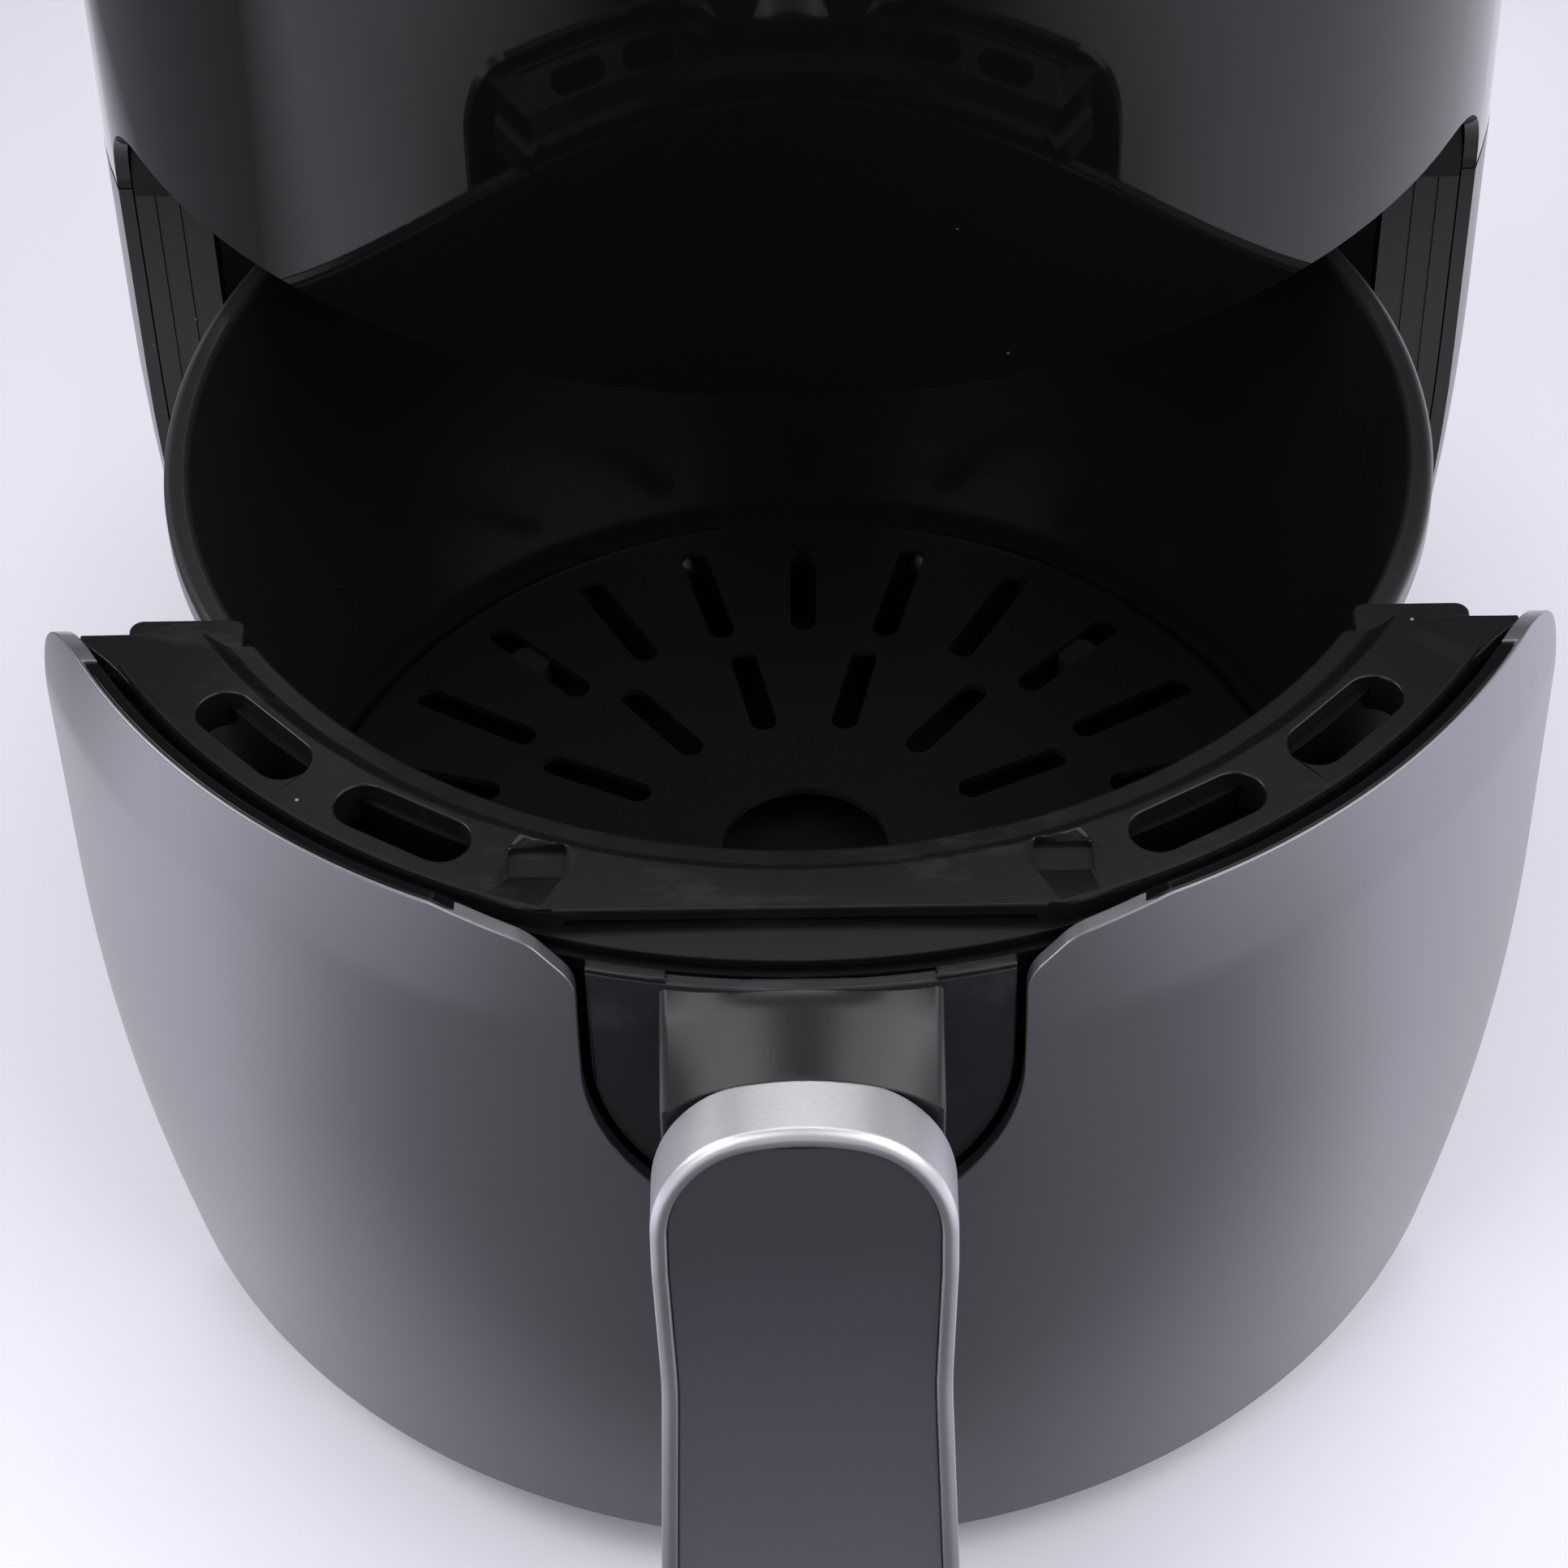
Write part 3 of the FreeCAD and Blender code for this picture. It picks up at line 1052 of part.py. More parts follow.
def pan_runners():
    """Two steel strips under the pan that ride on the rails."""
    runners = []
    for side in (-1, 1):
        runners.append(primitive(
            "Part::Box", f"runner_{side}", Length="rail_width", Width="2 * runner_half", Height="runner_height",
            Placement__Base__x=f"{side} * rail_spacing / 2 - rail_width / 2", Placement__Base__y="-runner_half",
            Placement__Base__z=f"{PAN_FLOOR} - pan_wall - runner_height"))
    return node(group("runner_pair", runners), "pan_runners", drawer=True)


def pan_bracket():
    """Steel block between the pan's wall and the liner, at the front."""
    bracket = body("pan_bracket")

    def wall(height):
        return f"face_gap + pan_foot + pan_wall + (pan_mouth - pan_foot) * ({height} - {PAN_FLOOR} + pan_wall) / pan_depth"

    low, high = f"({PAN_FLOOR} + 30)", "(rim_height - 22)"
    revolve(bracket, outline(sketch(bracket, "XZ_Plane"), [
        (wall(low), low), ("liner_inner", low), ("liner_inner", high), (wall(high), high)]))
    pocket(bracket, outline(sketch(bracket, "XY_Plane"), [
        ("-2 * body_radius", "-60"), ("2 * body_radius", "-60"), ("2 * body_radius", "2 * body_radius"),
        ("-2 * body_radius", "2 * body_radius")]), both=True)
    for side in (-1, 1):
        pocket(bracket, outline(sketch(bracket, "XZ_Plane"), [
            (f"{side} * 22", "0"), (f"{side} * 200", "0"), (f"{side} * 200", "rim_height"),
            (f"{side} * 22", "rim_height")]), both=True)
    return node(bracket, "pan_bracket", drawer=True)


def crisper_plate():
    plate = body("crisper_plate")
    low = f"({PAN_FLOOR} + crisper_lift)"
    top = f"({low} + crisper_thick)"
    revolve(plate, outline(sketch(plate, "XZ_Plane"), [
        ("16", low), ("crisper_radius - crisper_thick", low, "1"), ("crisper_radius - crisper_thick", low + " - 3"),
        ("crisper_radius", low + " - 3"), ("crisper_radius", top, "2"), ("16", top)]))
    edge = "(crisper_radius - crisper_border)"
    for first, last, count in ((f"{edge} - crisper_slot", edge, 24),
                               ("crisper_core", f"{edge} - crisper_slot - crisper_bridge", 14)):
        vent = pocket(plate, slot(sketch(plate, "XY_Plane", top), first, "0", last, "0", "2.6"), "5")
        polar(plate, vent, count)
    return node(plate, "crisper_plate", drawer=True)


def crisper_feet():
    """Four silicone feet clipped under the plate."""
    feet = []
    for turn in (45, 135, 225, 315):
        feet.append(primitive(
            "Part::Cylinder", f"crisper_foot_{turn}", Radius="4", Height="crisper_lift - fit_gap",
            Placement__Base__x=f"crisper_foot_circle * cos({turn})",
            Placement__Base__y=f"crisper_foot_circle * sin({turn})",
            Placement__Base__z=f"{PAN_FLOOR} + fit_gap"))
    return node(group("crisper_feet_set", feet), "crisper_feet", drawer=True)


# drawer: handle


def handle_bracket():
    """D-shaped plate that fills the notch in the drawer front and carries the handle."""
    half = "(notch_half - bracket_gap)"
    low = "(rim_height - notch_centre - notch_half + bracket_gap)"
    lip = "(rim_height + bracket_lip)"
    plate = shell_patch("bracket", "liner_outer + face_gap", "bracket_front", low + " - 5", lip, [
        (f"-{half}", low, half + " - 0.1"), (half, low, half + " - 0.1"), (half, lip), ("neck_half - 0.8", lip),
        ("neck_half - 0.8", "rim_height"), ("-neck_half + 0.8", "rim_height"), ("-neck_half + 0.8", lip),
        (f"-{half}", lip)])
    drill = body("bracket_drill")
    pad(drill, screw_holes(drill, "1.8"), "2 * body_radius")
    return node(cut("bracket_drilled", plate, drill), "handle_bracket", drawer=True)


def grip_line(depth, low, high):
    """Side view of the grip at a depth behind its front face, as three corners from top to bottom."""
    bend = "rim_height - grip_drop"
    front = f"(grip_mid - ({depth}))"
    return [(f"-{front} + ({high} - ({bend})) * lean_top", high), (f"-{front}", bend, "260"),
            (f"-{front} - (({bend}) - {low}) * lean_low", low)]


def between(owner, near, far):
    """Cuts the grip away in front of one depth and behind another."""
    low, high = "(rim_height - 190)", "(rim_height + 40)"
    front, back = grip_line(near, low, high), grip_line(far, low, high)
    both = sketch(owner, "YZ_Plane")
    outline(both, [("-3 * body_radius", high), *front, ("-3 * body_radius", low)])
    outline(both, [("10", high), *back, ("10", low)])
    return pocket(owner, both, both=True)


def grip_outline(drawing, inside="0", head="(rim_height - grip_top)"):
    """Front view of the grip: an arched head, a waist and a flared round end."""
    inside = f"({inside})"
    bottom = f"(rim_height - grip_bottom + {inside})"
    top = f"({head} - {inside})"
    right = [(f"grip_half - {inside}", top + " - 1.4", f"15 - {inside}"),
             (f"grip_half - {inside}", "rim_height - 26", "60"),
             (f"grip_waist - {inside}", "rim_height - 52", "90"),
             (f"grip_flare - {inside}", bottom, f"15 - {inside}")]
    left = [(f"-({c[0]})", *c[1:]) for c in reversed(right)]
    return outline(drawing, [(0, top, "70"), *right, *left])


def handle_trim():
    trim = body("handle_trim")
    pad(trim, grip_outline(sketch(trim, "XZ_Plane")), "2 * body_radius")
    between(trim, "0", "trim_depth")
    pocket(trim, grip_outline(sketch(trim, "XZ_Plane"), "trim_edge"), flip=True)
    return node(trim, "handle_trim", drawer=True)


def handle_inlay():
    inlay = body("handle_inlay")
    pad(inlay, grip_outline(sketch(inlay, "XZ_Plane"), "trim_edge + 0.1"), "2 * body_radius")
    between(inlay, "inlay_sink", "inlay_sink + inlay_thick")
    return node(inlay, "handle_inlay", drawer=True)


def handle_core():
    """Black moulding inside the metal frame, with the neck that reaches back to the bracket."""
    core = body("core_slab")
    pad(core, grip_outline(sketch(core, "XZ_Plane"), "trim_edge + 0.1"), "2 * body_radius")
    between(core, "inlay_sink + inlay_thick", "trim_depth")
    lean = "(-(grip_mid - trim_depth) + ({} - (rim_height - grip_drop)) * lean_top)"
    head, chin = "(rim_height - grip_top)", "(rim_height - 31)"
    side = body("neck_side")
    pad(side, outline(sketch(side, "YZ_Plane"), [
        ("-bracket_front + 9", "rim_height - neck_crown"), ("-bracket_front - 2", "rim_height - neck_crown - 0.5", "20"),
        (lean.format(head), head), (lean.format(chin), chin), ("-bracket_front - 7", "rim_height - 27", "5"),
        ("-bracket_front + 9", "rim_height - 25")]), "4 * neck_half", both=True)
    pocket(side, circle(sketch(side, "XY_Plane"), 0, 0, "bracket_front + face_gap"), both=True)
    arch = body("neck_arch")
    shoulder = "rim_height - neck_crown - 2.2"
    pad(arch, outline(sketch(arch, "XZ_Plane"), [
        (0, "rim_height - neck_crown", "70"), ("neck_half", shoulder, "8"), ("neck_half", "rim_height - 40"),
        ("-neck_half", "rim_height - 40"), ("-neck_half", shoulder, "8")]), "2 * body_radius")
    joined = together("Part::MultiFuse", "core_joined", [core, common("neck", side, arch)])
    drill = body("neck_drill")
    pad(drill, screw_holes(drill, "1.62"), "liner_outer + 16")
    return node(cut("core_drilled", joined, drill), "handle_core", drawer=True)


def handle_cover():
    """Rear shell of the grip, where the fingers lie."""
    cover = body("handle_cover")
    pad(cover, grip_outline(sketch(cover, "XZ_Plane"), "1.2"), "2 * body_radius")
    between(cover, "trim_depth", "trim_depth + cover_thick")
    pocket(cover, outline(sketch(cover, "XZ_Plane"), [
        ("-40", "rim_height - 33"), ("40", "rim_height - 33"), ("40", "rim_height + 9"),
        ("-40", "rim_height + 9")]), flip=True)
    return node(cover, "handle_cover", drawer=True)


def handle_screws():
    places = [(f"{side} * neck_screw_side", "-sqrt((liner_outer - liner_wall) ^ 2 - (neck_screw_side + 3.4) ^ 2) + face_gap",
               "rim_height - neck_screw_drop") for side in (-1, 1)]
    return screws("handle_screws", places, "1.6", "15", turn=Rotation(Vector(1, 0, 0), 90), drawer=True)


def screw_holes(owner, radius):
    """Clears the two handle screws."""
    holes = sketch(owner, "XZ_Plane")
    for side in (-1, 1):
        circle(holes, f"{side} * neck_screw_side", "rim_height - neck_screw_drop", radius)
    return holes


# build and export

PIECES = [
    base_plate, base_screws, rubber_feet, rear_casing, outlet_grille, cable_gland, front_panel, touch_window,
    top_cover, cavity_floor, inner_frame, drum, heater_dish, heat_shield, heating_coil, coil_clips,
    coil_guard, hot_fan, fan_nut, fan_shaft, cooling_fan, motor, motor_bracket, motor_screws,
    thermal_cutout, control_carrier, control_board, power_board, interlock_switch, interlock_plunger,
    drawer_front, drawer_liner, vent_frame, pan, pan_runners, pan_bracket, crisper_plate, crisper_feet,
    handle_bracket, handle_trim, handle_inlay, handle_core, handle_cover, handle_screws]

for make in PIECES:
    make()

doc.recompute()
for thing in doc.Objects:
    if "Invalid" in thing.State or "Error" in thing.State:
        raise RuntimeError(f"{thing.Label} did not build: {thing.State}")
for piece in nodes:
    if piece.Shape.isNull() or not piece.Shape.isValid() or not piece.Shape.Solids:
        raise RuntimeError(f"{piece.Label} has no valid solid")

os.makedirs("parts", exist_ok=True)
for piece in nodes:
    piece.Shape.exportStep(os.path.join("parts", piece.Label + ".step"))
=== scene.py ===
import bpy
import json
import math
from mathutils import Matrix, Vector


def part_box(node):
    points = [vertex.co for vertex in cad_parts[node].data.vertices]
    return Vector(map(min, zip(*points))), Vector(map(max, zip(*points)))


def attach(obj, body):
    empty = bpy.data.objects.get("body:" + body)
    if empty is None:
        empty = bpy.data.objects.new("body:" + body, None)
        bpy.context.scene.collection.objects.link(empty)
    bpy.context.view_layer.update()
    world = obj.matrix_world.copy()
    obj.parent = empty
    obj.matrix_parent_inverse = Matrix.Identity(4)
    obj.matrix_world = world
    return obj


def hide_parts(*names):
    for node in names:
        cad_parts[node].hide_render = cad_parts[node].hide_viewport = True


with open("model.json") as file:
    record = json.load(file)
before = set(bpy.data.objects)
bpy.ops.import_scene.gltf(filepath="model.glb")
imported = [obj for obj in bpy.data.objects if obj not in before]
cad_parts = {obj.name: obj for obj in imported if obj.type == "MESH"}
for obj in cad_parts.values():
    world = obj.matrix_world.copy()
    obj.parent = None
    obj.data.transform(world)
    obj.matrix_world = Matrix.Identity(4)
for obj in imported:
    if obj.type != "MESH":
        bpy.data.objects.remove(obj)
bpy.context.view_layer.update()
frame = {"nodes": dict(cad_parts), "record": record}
mm = 0.001


def middle(node):
    low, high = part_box(node)
    return (low + high) / 2


drawerAxis = middle("pan").y           # the pan's upright axis, with the drawer open
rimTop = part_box("pan")[1].z            # top of the pan's rolled rim
centreY = drawerAxis / mm               # the same axis in millimetres
print("frame loaded, drawer axis", round(drawerAxis, 4))


# shader maths

class Sock:
    # one socket of a node tree, so that finishes can be written as sums
    def __init__(self, finish, link):
        self.finish = finish
        self.link = link

    def mix(self, kind, other, swap=False):
        first, second = (other, self) if swap else (self, other)
        return self.finish.node("ShaderNodeMath", {"operation": kind}, [first, second])[0]

    def __add__(self, other):
        return self.mix("ADD", other)

    def __sub__(self, other):
        return self.mix("SUBTRACT", other)

    def __rsub__(self, other):
        return self.mix("SUBTRACT", other, swap=True)

    def __mul__(self, other):
        return self.mix("MULTIPLY", other)

    def __pow__(self, other):
        return self.mix("POWER", other)

    __radd__ = __add__
    __rmul__ = __mul__


class Finish:
    # one material, or the world; node() adds any node from its type, its settings and its inputs
    def __init__(self, name, owner=None):
        self.owner = owner or bpy.data.materials.new(name)
        self.owner.use_nodes = True
        self.nodeTree = self.owner.node_tree
        self.nodeTree.nodes.clear()
        self.place = self.node("ShaderNodeTexCoord", {}, {})["Object"]

    def node(self, kind, settings, inputs):
        new = self.nodeTree.nodes.new(kind)
        for key, value in settings.items():
            setattr(new, key, value)
        pairs = inputs.items() if isinstance(inputs, dict) else enumerate(inputs)
        for key, value in pairs:
            if isinstance(value, Sock):
                self.nodeTree.links.new(value.link, new.inputs[key])
            elif isinstance(value, (tuple, list)) and len(value) == 3 and new.inputs[key].type == "RGBA":
                new.inputs[key].default_value = (*value, 1)
            else:
                new.inputs[key].default_value = value
        return Outputs(self, new)

    def noise(self, scale, detail=3.0, roughness=0.5, stretch=(1, 1, 1)):
        placed = self.node("ShaderNodeMapping", {}, {"Vector": self.place, "Scale": stretch})["Vector"]
        return self.node("ShaderNodeTexNoise", {}, {
            "Vector": placed, "Scale": scale, "Detail": detail, "Roughness": roughness})["Fac"]

    def spread(self, value, low, high, first=0.0, last=1.0):
        return self.node("ShaderNodeMapRange", {}, {
            "Value": value, "From Min": low, "From Max": high, "To Min": first, "To Max": last})["Result"]

    def blend(self, factor, first, second):
        return self.node("ShaderNodeMix", {"data_type": "RGBA"}, {0: factor, 6: first, 7: second})[2]

    def bump(self, height, strength, distance=0.001):
        return self.node("ShaderNodeBump", {}, {
            "Height": height, "Strength": strength, "Distance": distance})["Normal"]

    def surface(self, **inputs):
        names = {"colour": "Base Color", "rough": "Roughness", "metal": "Metallic", "normal": "Normal",
                 "ior": "IOR", "level": "Specular IOR Level"}
        bsdf = self.node("ShaderNodeBsdfPrincipled", {}, {names[k]: v for k, v in inputs.items()})["BSDF"]
        self.node("ShaderNodeOutputMaterial", {}, {"Surface": bsdf})
        return self.owner


class Outputs:
    # a node's outputs, by name or by number
    def __init__(self, finish, new):
        self.finish = finish
        self.new = new

    def __getitem__(self, key):
        return Sock(self.finish, self.new.outputs[key])


# finishes

def dustMask(finish, amount):
    # sparse pale specks, from the cells whose random value is highest
    cell = finish.node("ShaderNodeTexVoronoi", {}, {"Vector": finish.place, "Scale": 330.0})
    picked = finish.node("ShaderNodeSeparateColor", {}, {"Color": cell["Color"]})["Red"]
    near = finish.spread(cell["Distance"], 0.05, 0.13, 1.0, 0.0)
    rare = finish.spread(picked, 1 - amount, 1 - amount + 0.002)
    return near * rare


def satinShell():
    # satin dark graphite moulding: a fine grain and a faint unevenness in its gloss
    finish = Finish("graphiteShell")
    cloud = finish.noise(9.0, 2.0)
    grain = finish.noise(2600.0, 2.0)
    colour = finish.blend(cloud, (0.235, 0.235, 0.255), (0.265, 0.265, 0.287))
    return finish.surface(colour=colour, rough=finish.spread(cloud, 0.3, 0.7, 0.27, 0.33), metal=0.85,
                          normal=finish.bump(grain, 0.05, 0.0002))


def glossPanel(name="glossBlack"):
    # mirror-gloss black with a few dust specks
    finish = Finish(name)
    dust = dustMask(finish, 0.004)
    colour = finish.blend(dust, (0.0035, 0.0035, 0.004), (0.25, 0.25, 0.27))
    wave = finish.noise(14.0, 1.0)
    return finish.surface(colour=colour, rough=finish.spread(dust, 0.0, 1.0, 0.035, 0.6),
                          normal=finish.bump(wave, 0.02, 0.001), ior=1.36)


def satinMoulding(name, colour=(0.005, 0.005, 0.0055), rough=0.25, dust=0.01, ior=1.48):
    # black moulding with a fine texture, light scuffs and dust
    finish = Finish(name)
    specks = dustMask(finish, dust)
    scuff = finish.spread(finish.noise(38.0, 5.0, 0.65, (1, 3, 1)), 0.58, 0.78)
    grain = finish.noise(1900.0, 2.0)
    lift = tuple(c * 3 + 0.01 for c in colour)
    base = finish.blend(scuff * 0.35, colour, lift)
    base = finish.blend(specks * 0.7, base, (0.30, 0.30, 0.32))
    return finish.surface(colour=base, rough=finish.spread(scuff, 0, 1, rough, rough + 0.14),
                          normal=finish.bump(grain, 0.06, 0.0002), ior=ior)


def nonStick():
    # dark coating with a fine sparkle and slow waves in its gloss
    finish = Finish("nonStick")
    speck = finish.node("ShaderNodeTexVoronoi", {}, {"Vector": finish.place, "Scale": 900.0})["Distance"]
    cloud = finish.noise(16.0, 3.0)
    sparkle = finish.spread(speck, 0.0, 0.16, 0.6, 0.0)
    base = finish.blend(sparkle, (0.012, 0.012, 0.0125), (0.045, 0.045, 0.047))
    return finish.surface(colour=base, rough=finish.spread(cloud, 0.3, 0.7, 0.22, 0.32),
                          normal=finish.bump(finish.noise(700.0, 2.0), 0.10, 0.0003), ior=1.5)


def satinMetal():
    # blasted aluminium, bright with soft highlights
    finish = Finish("satinSilver")
    grain = finish.noise(1500.0, 3.0)
    cloud = finish.noise(22.0, 2.0)
    colour = finish.blend(cloud, (0.70, 0.70, 0.73), (0.78, 0.78, 0.81))
    return finish.surface(colour=colour, metal=1.0, rough=finish.spread(cloud, 0.3, 0.7, 0.38, 0.44),
                          normal=finish.bump(grain, 0.08, 0.0002))


def inlayLacquer():
    # dark lacquer, made a little paler towards its lower end by a painted reflection of the bright floor
    finish = Finish("gripInlay")
    grain = finish.noise(2200.0, 2.0)
    cloud = finish.noise(12.0, 2.0)
    height = finish.node("ShaderNodeSeparateXYZ", {}, {"Vector": finish.place})["Z"]
    colour = finish.blend(cloud, (0.034, 0.032, 0.041), (0.039, 0.037, 0.046))
    # painted reflection: the inlay's lower end is lightened, standing in for the bright floor it reflects
    colour = finish.blend(finish.spread(height, 0.055, 0.135, 1.0, 0.0), colour, (0.090, 0.088, 0.112))
    return finish.surface(colour=colour, rough=0.36, normal=finish.bump(grain, 0.05, 0.0002), ior=1.7)


def sheetSteel(name, colour, rough):
    # plain steel with rolling lines
    finish = Finish(name)
    lines = finish.noise(160.0, 4.0, 0.6, (1, 1, 9))
    tone = tuple(c * 0.82 for c in colour)
    return finish.surface(colour=finish.blend(lines, tone, colour), metal=1.0,
                          rough=finish.spread(lines, 0.3, 0.7, rough, rough + 0.12),
                          normal=finish.bump(lines, 0.08, 0.0003))


def plainMoulding(name, colour, rough):
    # inner plastics, rubber and paint: a soft mottle and a fine grain
    finish = Finish(name)
    cloud = finish.noise(60.0, 3.0)
    tone = tuple(c * 0.8 for c in colour)
    return finish.surface(colour=finish.blend(cloud, tone, colour),
                          rough=finish.spread(cloud, 0.3, 0.7, rough - 0.05, rough + 0.05),
                          normal=finish.bump(finish.noise(1400.0, 2.0), 0.12, 0.0002))


# one finish for each material slot of the record
finishes = {
    "graphite_shell": satinShell(),
    "gloss_black": glossPanel(),
    "window_glass": glossPanel("windowGloss"),
    "satin_black": satinMoulding("satinBlack"),
    "liner_black": satinMoulding("linerBlack", (0.0015, 0.0015, 0.0018), 0.5, 0.004, 1.2),
    "nonstick_coat": nonStick(),
    "satin_metal": satinMetal(),
    "inlay_black": inlayLacquer(),
    "galvanised": sheetSteel("galvanised", (0.42, 0.43, 0.44), 0.38),
    "bright_steel": sheetSteel("brightSteel", (0.60, 0.60, 0.61), 0.24),
    "tube_steel": sheetSteel("tubeSteel", (0.14, 0.13, 0.125), 0.42),
    "fan_aluminium": sheetSteel("fanAluminium", (0.66, 0.66, 0.67), 0.34),
    "motor_paint": plainMoulding("motorPaint", (0.05, 0.05, 0.055), 0.42),
    "base_plastic": plainMoulding("basePlastic", (0.012, 0.012, 0.013), 0.5),
    "white_plastic": plainMoulding("whitePlastic", (0.68, 0.66, 0.60), 0.45),
    "foot_rubber": plainMoulding("footRubber", (0.010, 0.010, 0.010), 0.75),
    "silicone": plainMoulding("silicone", (0.012, 0.012, 0.012), 0.6),
    "board": plainMoulding("boardGreen", (0.02, 0.12, 0.05), 0.4),
    "screw_steel": sheetSteel("screwSteel", (0.50, 0.50, 0.52), 0.3),
}
slotOf = {part["node"]: part["material_slot"] for part in frame["record"]["subparts"]}
slotOf["rear_casing"] = "satin_black"      # darker than the drawer's front
for nodeName, thing in frame["nodes"].items():
    thing.data.materials.clear()
    thing.data.materials.append(finishes[slotOf[nodeName]])
print("finishes made:", len(finishes))


# modelling helpers: sizes are in millimetres, heights from the table, y from the drawer's upright axis

def clearAll():
    # object mode, with nothing selected
    if bpy.context.mode != "OBJECT":
        bpy.ops.object.mode_set(mode="OBJECT")
    bpy.ops.object.select_all(action="DESELECT")


def pick(piece):
    # one piece selected and active
    clearAll()
    piece.select_set(True)
    bpy.context.view_layer.objects.active = piece


def edit(piece, kind="VERT"):
    # edit mode on one piece, with all of it selected
    pick(piece)
    bpy.ops.object.mode_set(mode="EDIT")
    bpy.ops.mesh.select_mode(type=kind)
    bpy.ops.mesh.select_all(action="SELECT")


def tidied(piece, gap=0.02):
    # doubles merged, then every face turned outwards
    edit(piece)
    bpy.ops.mesh.remove_doubles(threshold=gap * mm)
    bpy.ops.mesh.select_all(action="SELECT")
    bpy.ops.mesh.normals_make_consistent(inside=False)
    clearAll()
    return piece


def rounded(corners, pitch=6.0, fine=7.0):
    # closed line through (across, up) corners, each with its own radius where it has a third number
    places = [Vector(corner[:2]) for corner in corners]
    line = []
    for number, corner in enumerate(corners):
        here = places[number]
        if len(corner) < 3 or corner[2] <= 0:
            line.append(here)
            continue
        one = (places[number - 1] - here).normalized()
        two = (places[(number + 1) % len(places)] - here).normalized()
        half = one.angle(two) / 2
        reach = corner[2] / math.tan(half)
        centre = here + (one + two).normalized() * corner[2] / math.sin(half)
        first = here + one * reach - centre
        last = here + two * reach - centre
        turn = math.pi - 2 * half
        if first.x * last.y < first.y * last.x:
            turn = -turn
        steps = max(3, math.ceil(abs(math.degrees(turn)) / fine), math.ceil(abs(turn) * corner[2] / pitch))
        for step in range(steps + 1):
            line.append(centre + Matrix.Rotation(turn * step / steps, 2) @ first)
    return line


def mirrored(right):
    # whole outline from its right half
    return right + [(-corner[0], *corner[1:]) for corner in reversed(right) if abs(corner[0]) > 0.001]


def traced(name, points, closed=True):
    # one vertex drawn out along a line of points
    clearAll()
    bpy.ops.mesh.primitive_plane_add(size=0.01, location=(0, 0, 0))
    piece = bpy.context.object
    piece.name = name
    edit(piece)
    bpy.ops.mesh.merge(type="CENTER")
    bpy.ops.transform.translate(value=points[0] * mm)
    last = points[0]
    for point in points[1:] + (points[:1] if closed else []):
        bpy.ops.mesh.extrude_region_move(TRANSFORM_OT_translate={"value": (point - last) * mm})
        last = point
    bpy.ops.mesh.select_all(action="SELECT")
    bpy.ops.mesh.remove_doubles(threshold=0.01 * mm)
    clearAll()
    return piece


def sided(corners, side):
    # the same outline on the right (1) or on the left (-1)
    return [(side * corner[0], *corner[1:]) for corner in corners]


def swept(name, corners, steps=256):
    # profile of (radius, height) corners turned once round the drawer's upright axis
    piece = traced(name, [Vector((0, centreY - point.x, point.y)) for point in rounded(corners)])
    edit(piece)
    bpy.ops.mesh.spin(steps=steps, angle=2 * math.pi, center=(0, drawerAxis, 0), axis=(0, 0, 1))
    return tidied(piece)


def prism(name, corners, axis, low, high, pitch=6.0):
    # outline drawn out along one axis: "X" takes (y, z), "Y" takes (x, z) and "Z" takes (x, y) corners
    place = {"X": lambda p: Vector((low, p.x + centreY, p.y)),
             "Y": lambda p: Vector((p.x, low + centreY, p.y)),
             "Z": lambda p: Vector((p.x, p.y + centreY, low))}[axis]
    way = {"X": (1, 0, 0), "Y": (0, 1, 0), "Z": (0, 0, 1)}[axis]
    piece = traced(name, [place(point) for point in rounded(corners, pitch)])
    edit(piece)
    bpy.ops.mesh.edge_face_add()
    bpy.ops.mesh.extrude_region_move(TRANSFORM_OT_translate={"value": Vector(way) * (high - low) * mm})
    return tidied(piece)


def bridged(name, first, second, closed, way):
    # two equal lines of points bridged by a band of faces, which is then drawn out to a solid
    piece = traced(name, first, closed)
    other = traced(name + "Other", second, closed)
    pick(piece)
    other.select_set(True)
    bpy.ops.object.join()
    edit(piece, "EDGE")
    bpy.ops.mesh.bridge_edge_loops()
    bpy.ops.mesh.select_all(action="SELECT")
    bpy.ops.mesh.extrude_region_move(TRANSFORM_OT_translate={"value": Vector(way) * mm})
    return tidied(piece, 0.01)


def bevelled(piece, chosen, width, parts):
    # rounds only the edges for which chosen() says yes to both ends
    edit(piece, "EDGE")
    bpy.ops.mesh.select_all(action="DESELECT")
    bpy.ops.object.mode_set(mode="OBJECT")
    corners = piece.data.vertices
    for edge in piece.data.edges:
        edge.select = all(chosen(corners[number].co) for number in edge.vertices)
    bpy.ops.object.mode_set(mode="EDIT")
    bpy.ops.mesh.bevel(offset=width * mm, segments=parts, affect="EDGES", clamp_overlap=False)
    clearAll()
    return piece


def carved(piece, cutter, operation="DIFFERENCE"):
    # a second solid taken from the piece, joined to it, or kept in common with it
    pick(piece)
    bpy.ops.object.modifier_add(type="BOOLEAN")
    change = piece.modifiers[-1]
    change.operation = operation
    change.solver = "EXACT"
    change.object = cutter
    bpy.ops.object.modifier_apply(modifier=change.name)
    pick(cutter)
    bpy.ops.object.delete()
    return tidied(piece, 0.03)


cutWide = (-160, 160)      # across the whole drawer
cutFront = (-150, -110)    # through its front wall
cutHigh = (150, 180)       # through the frame round the pan


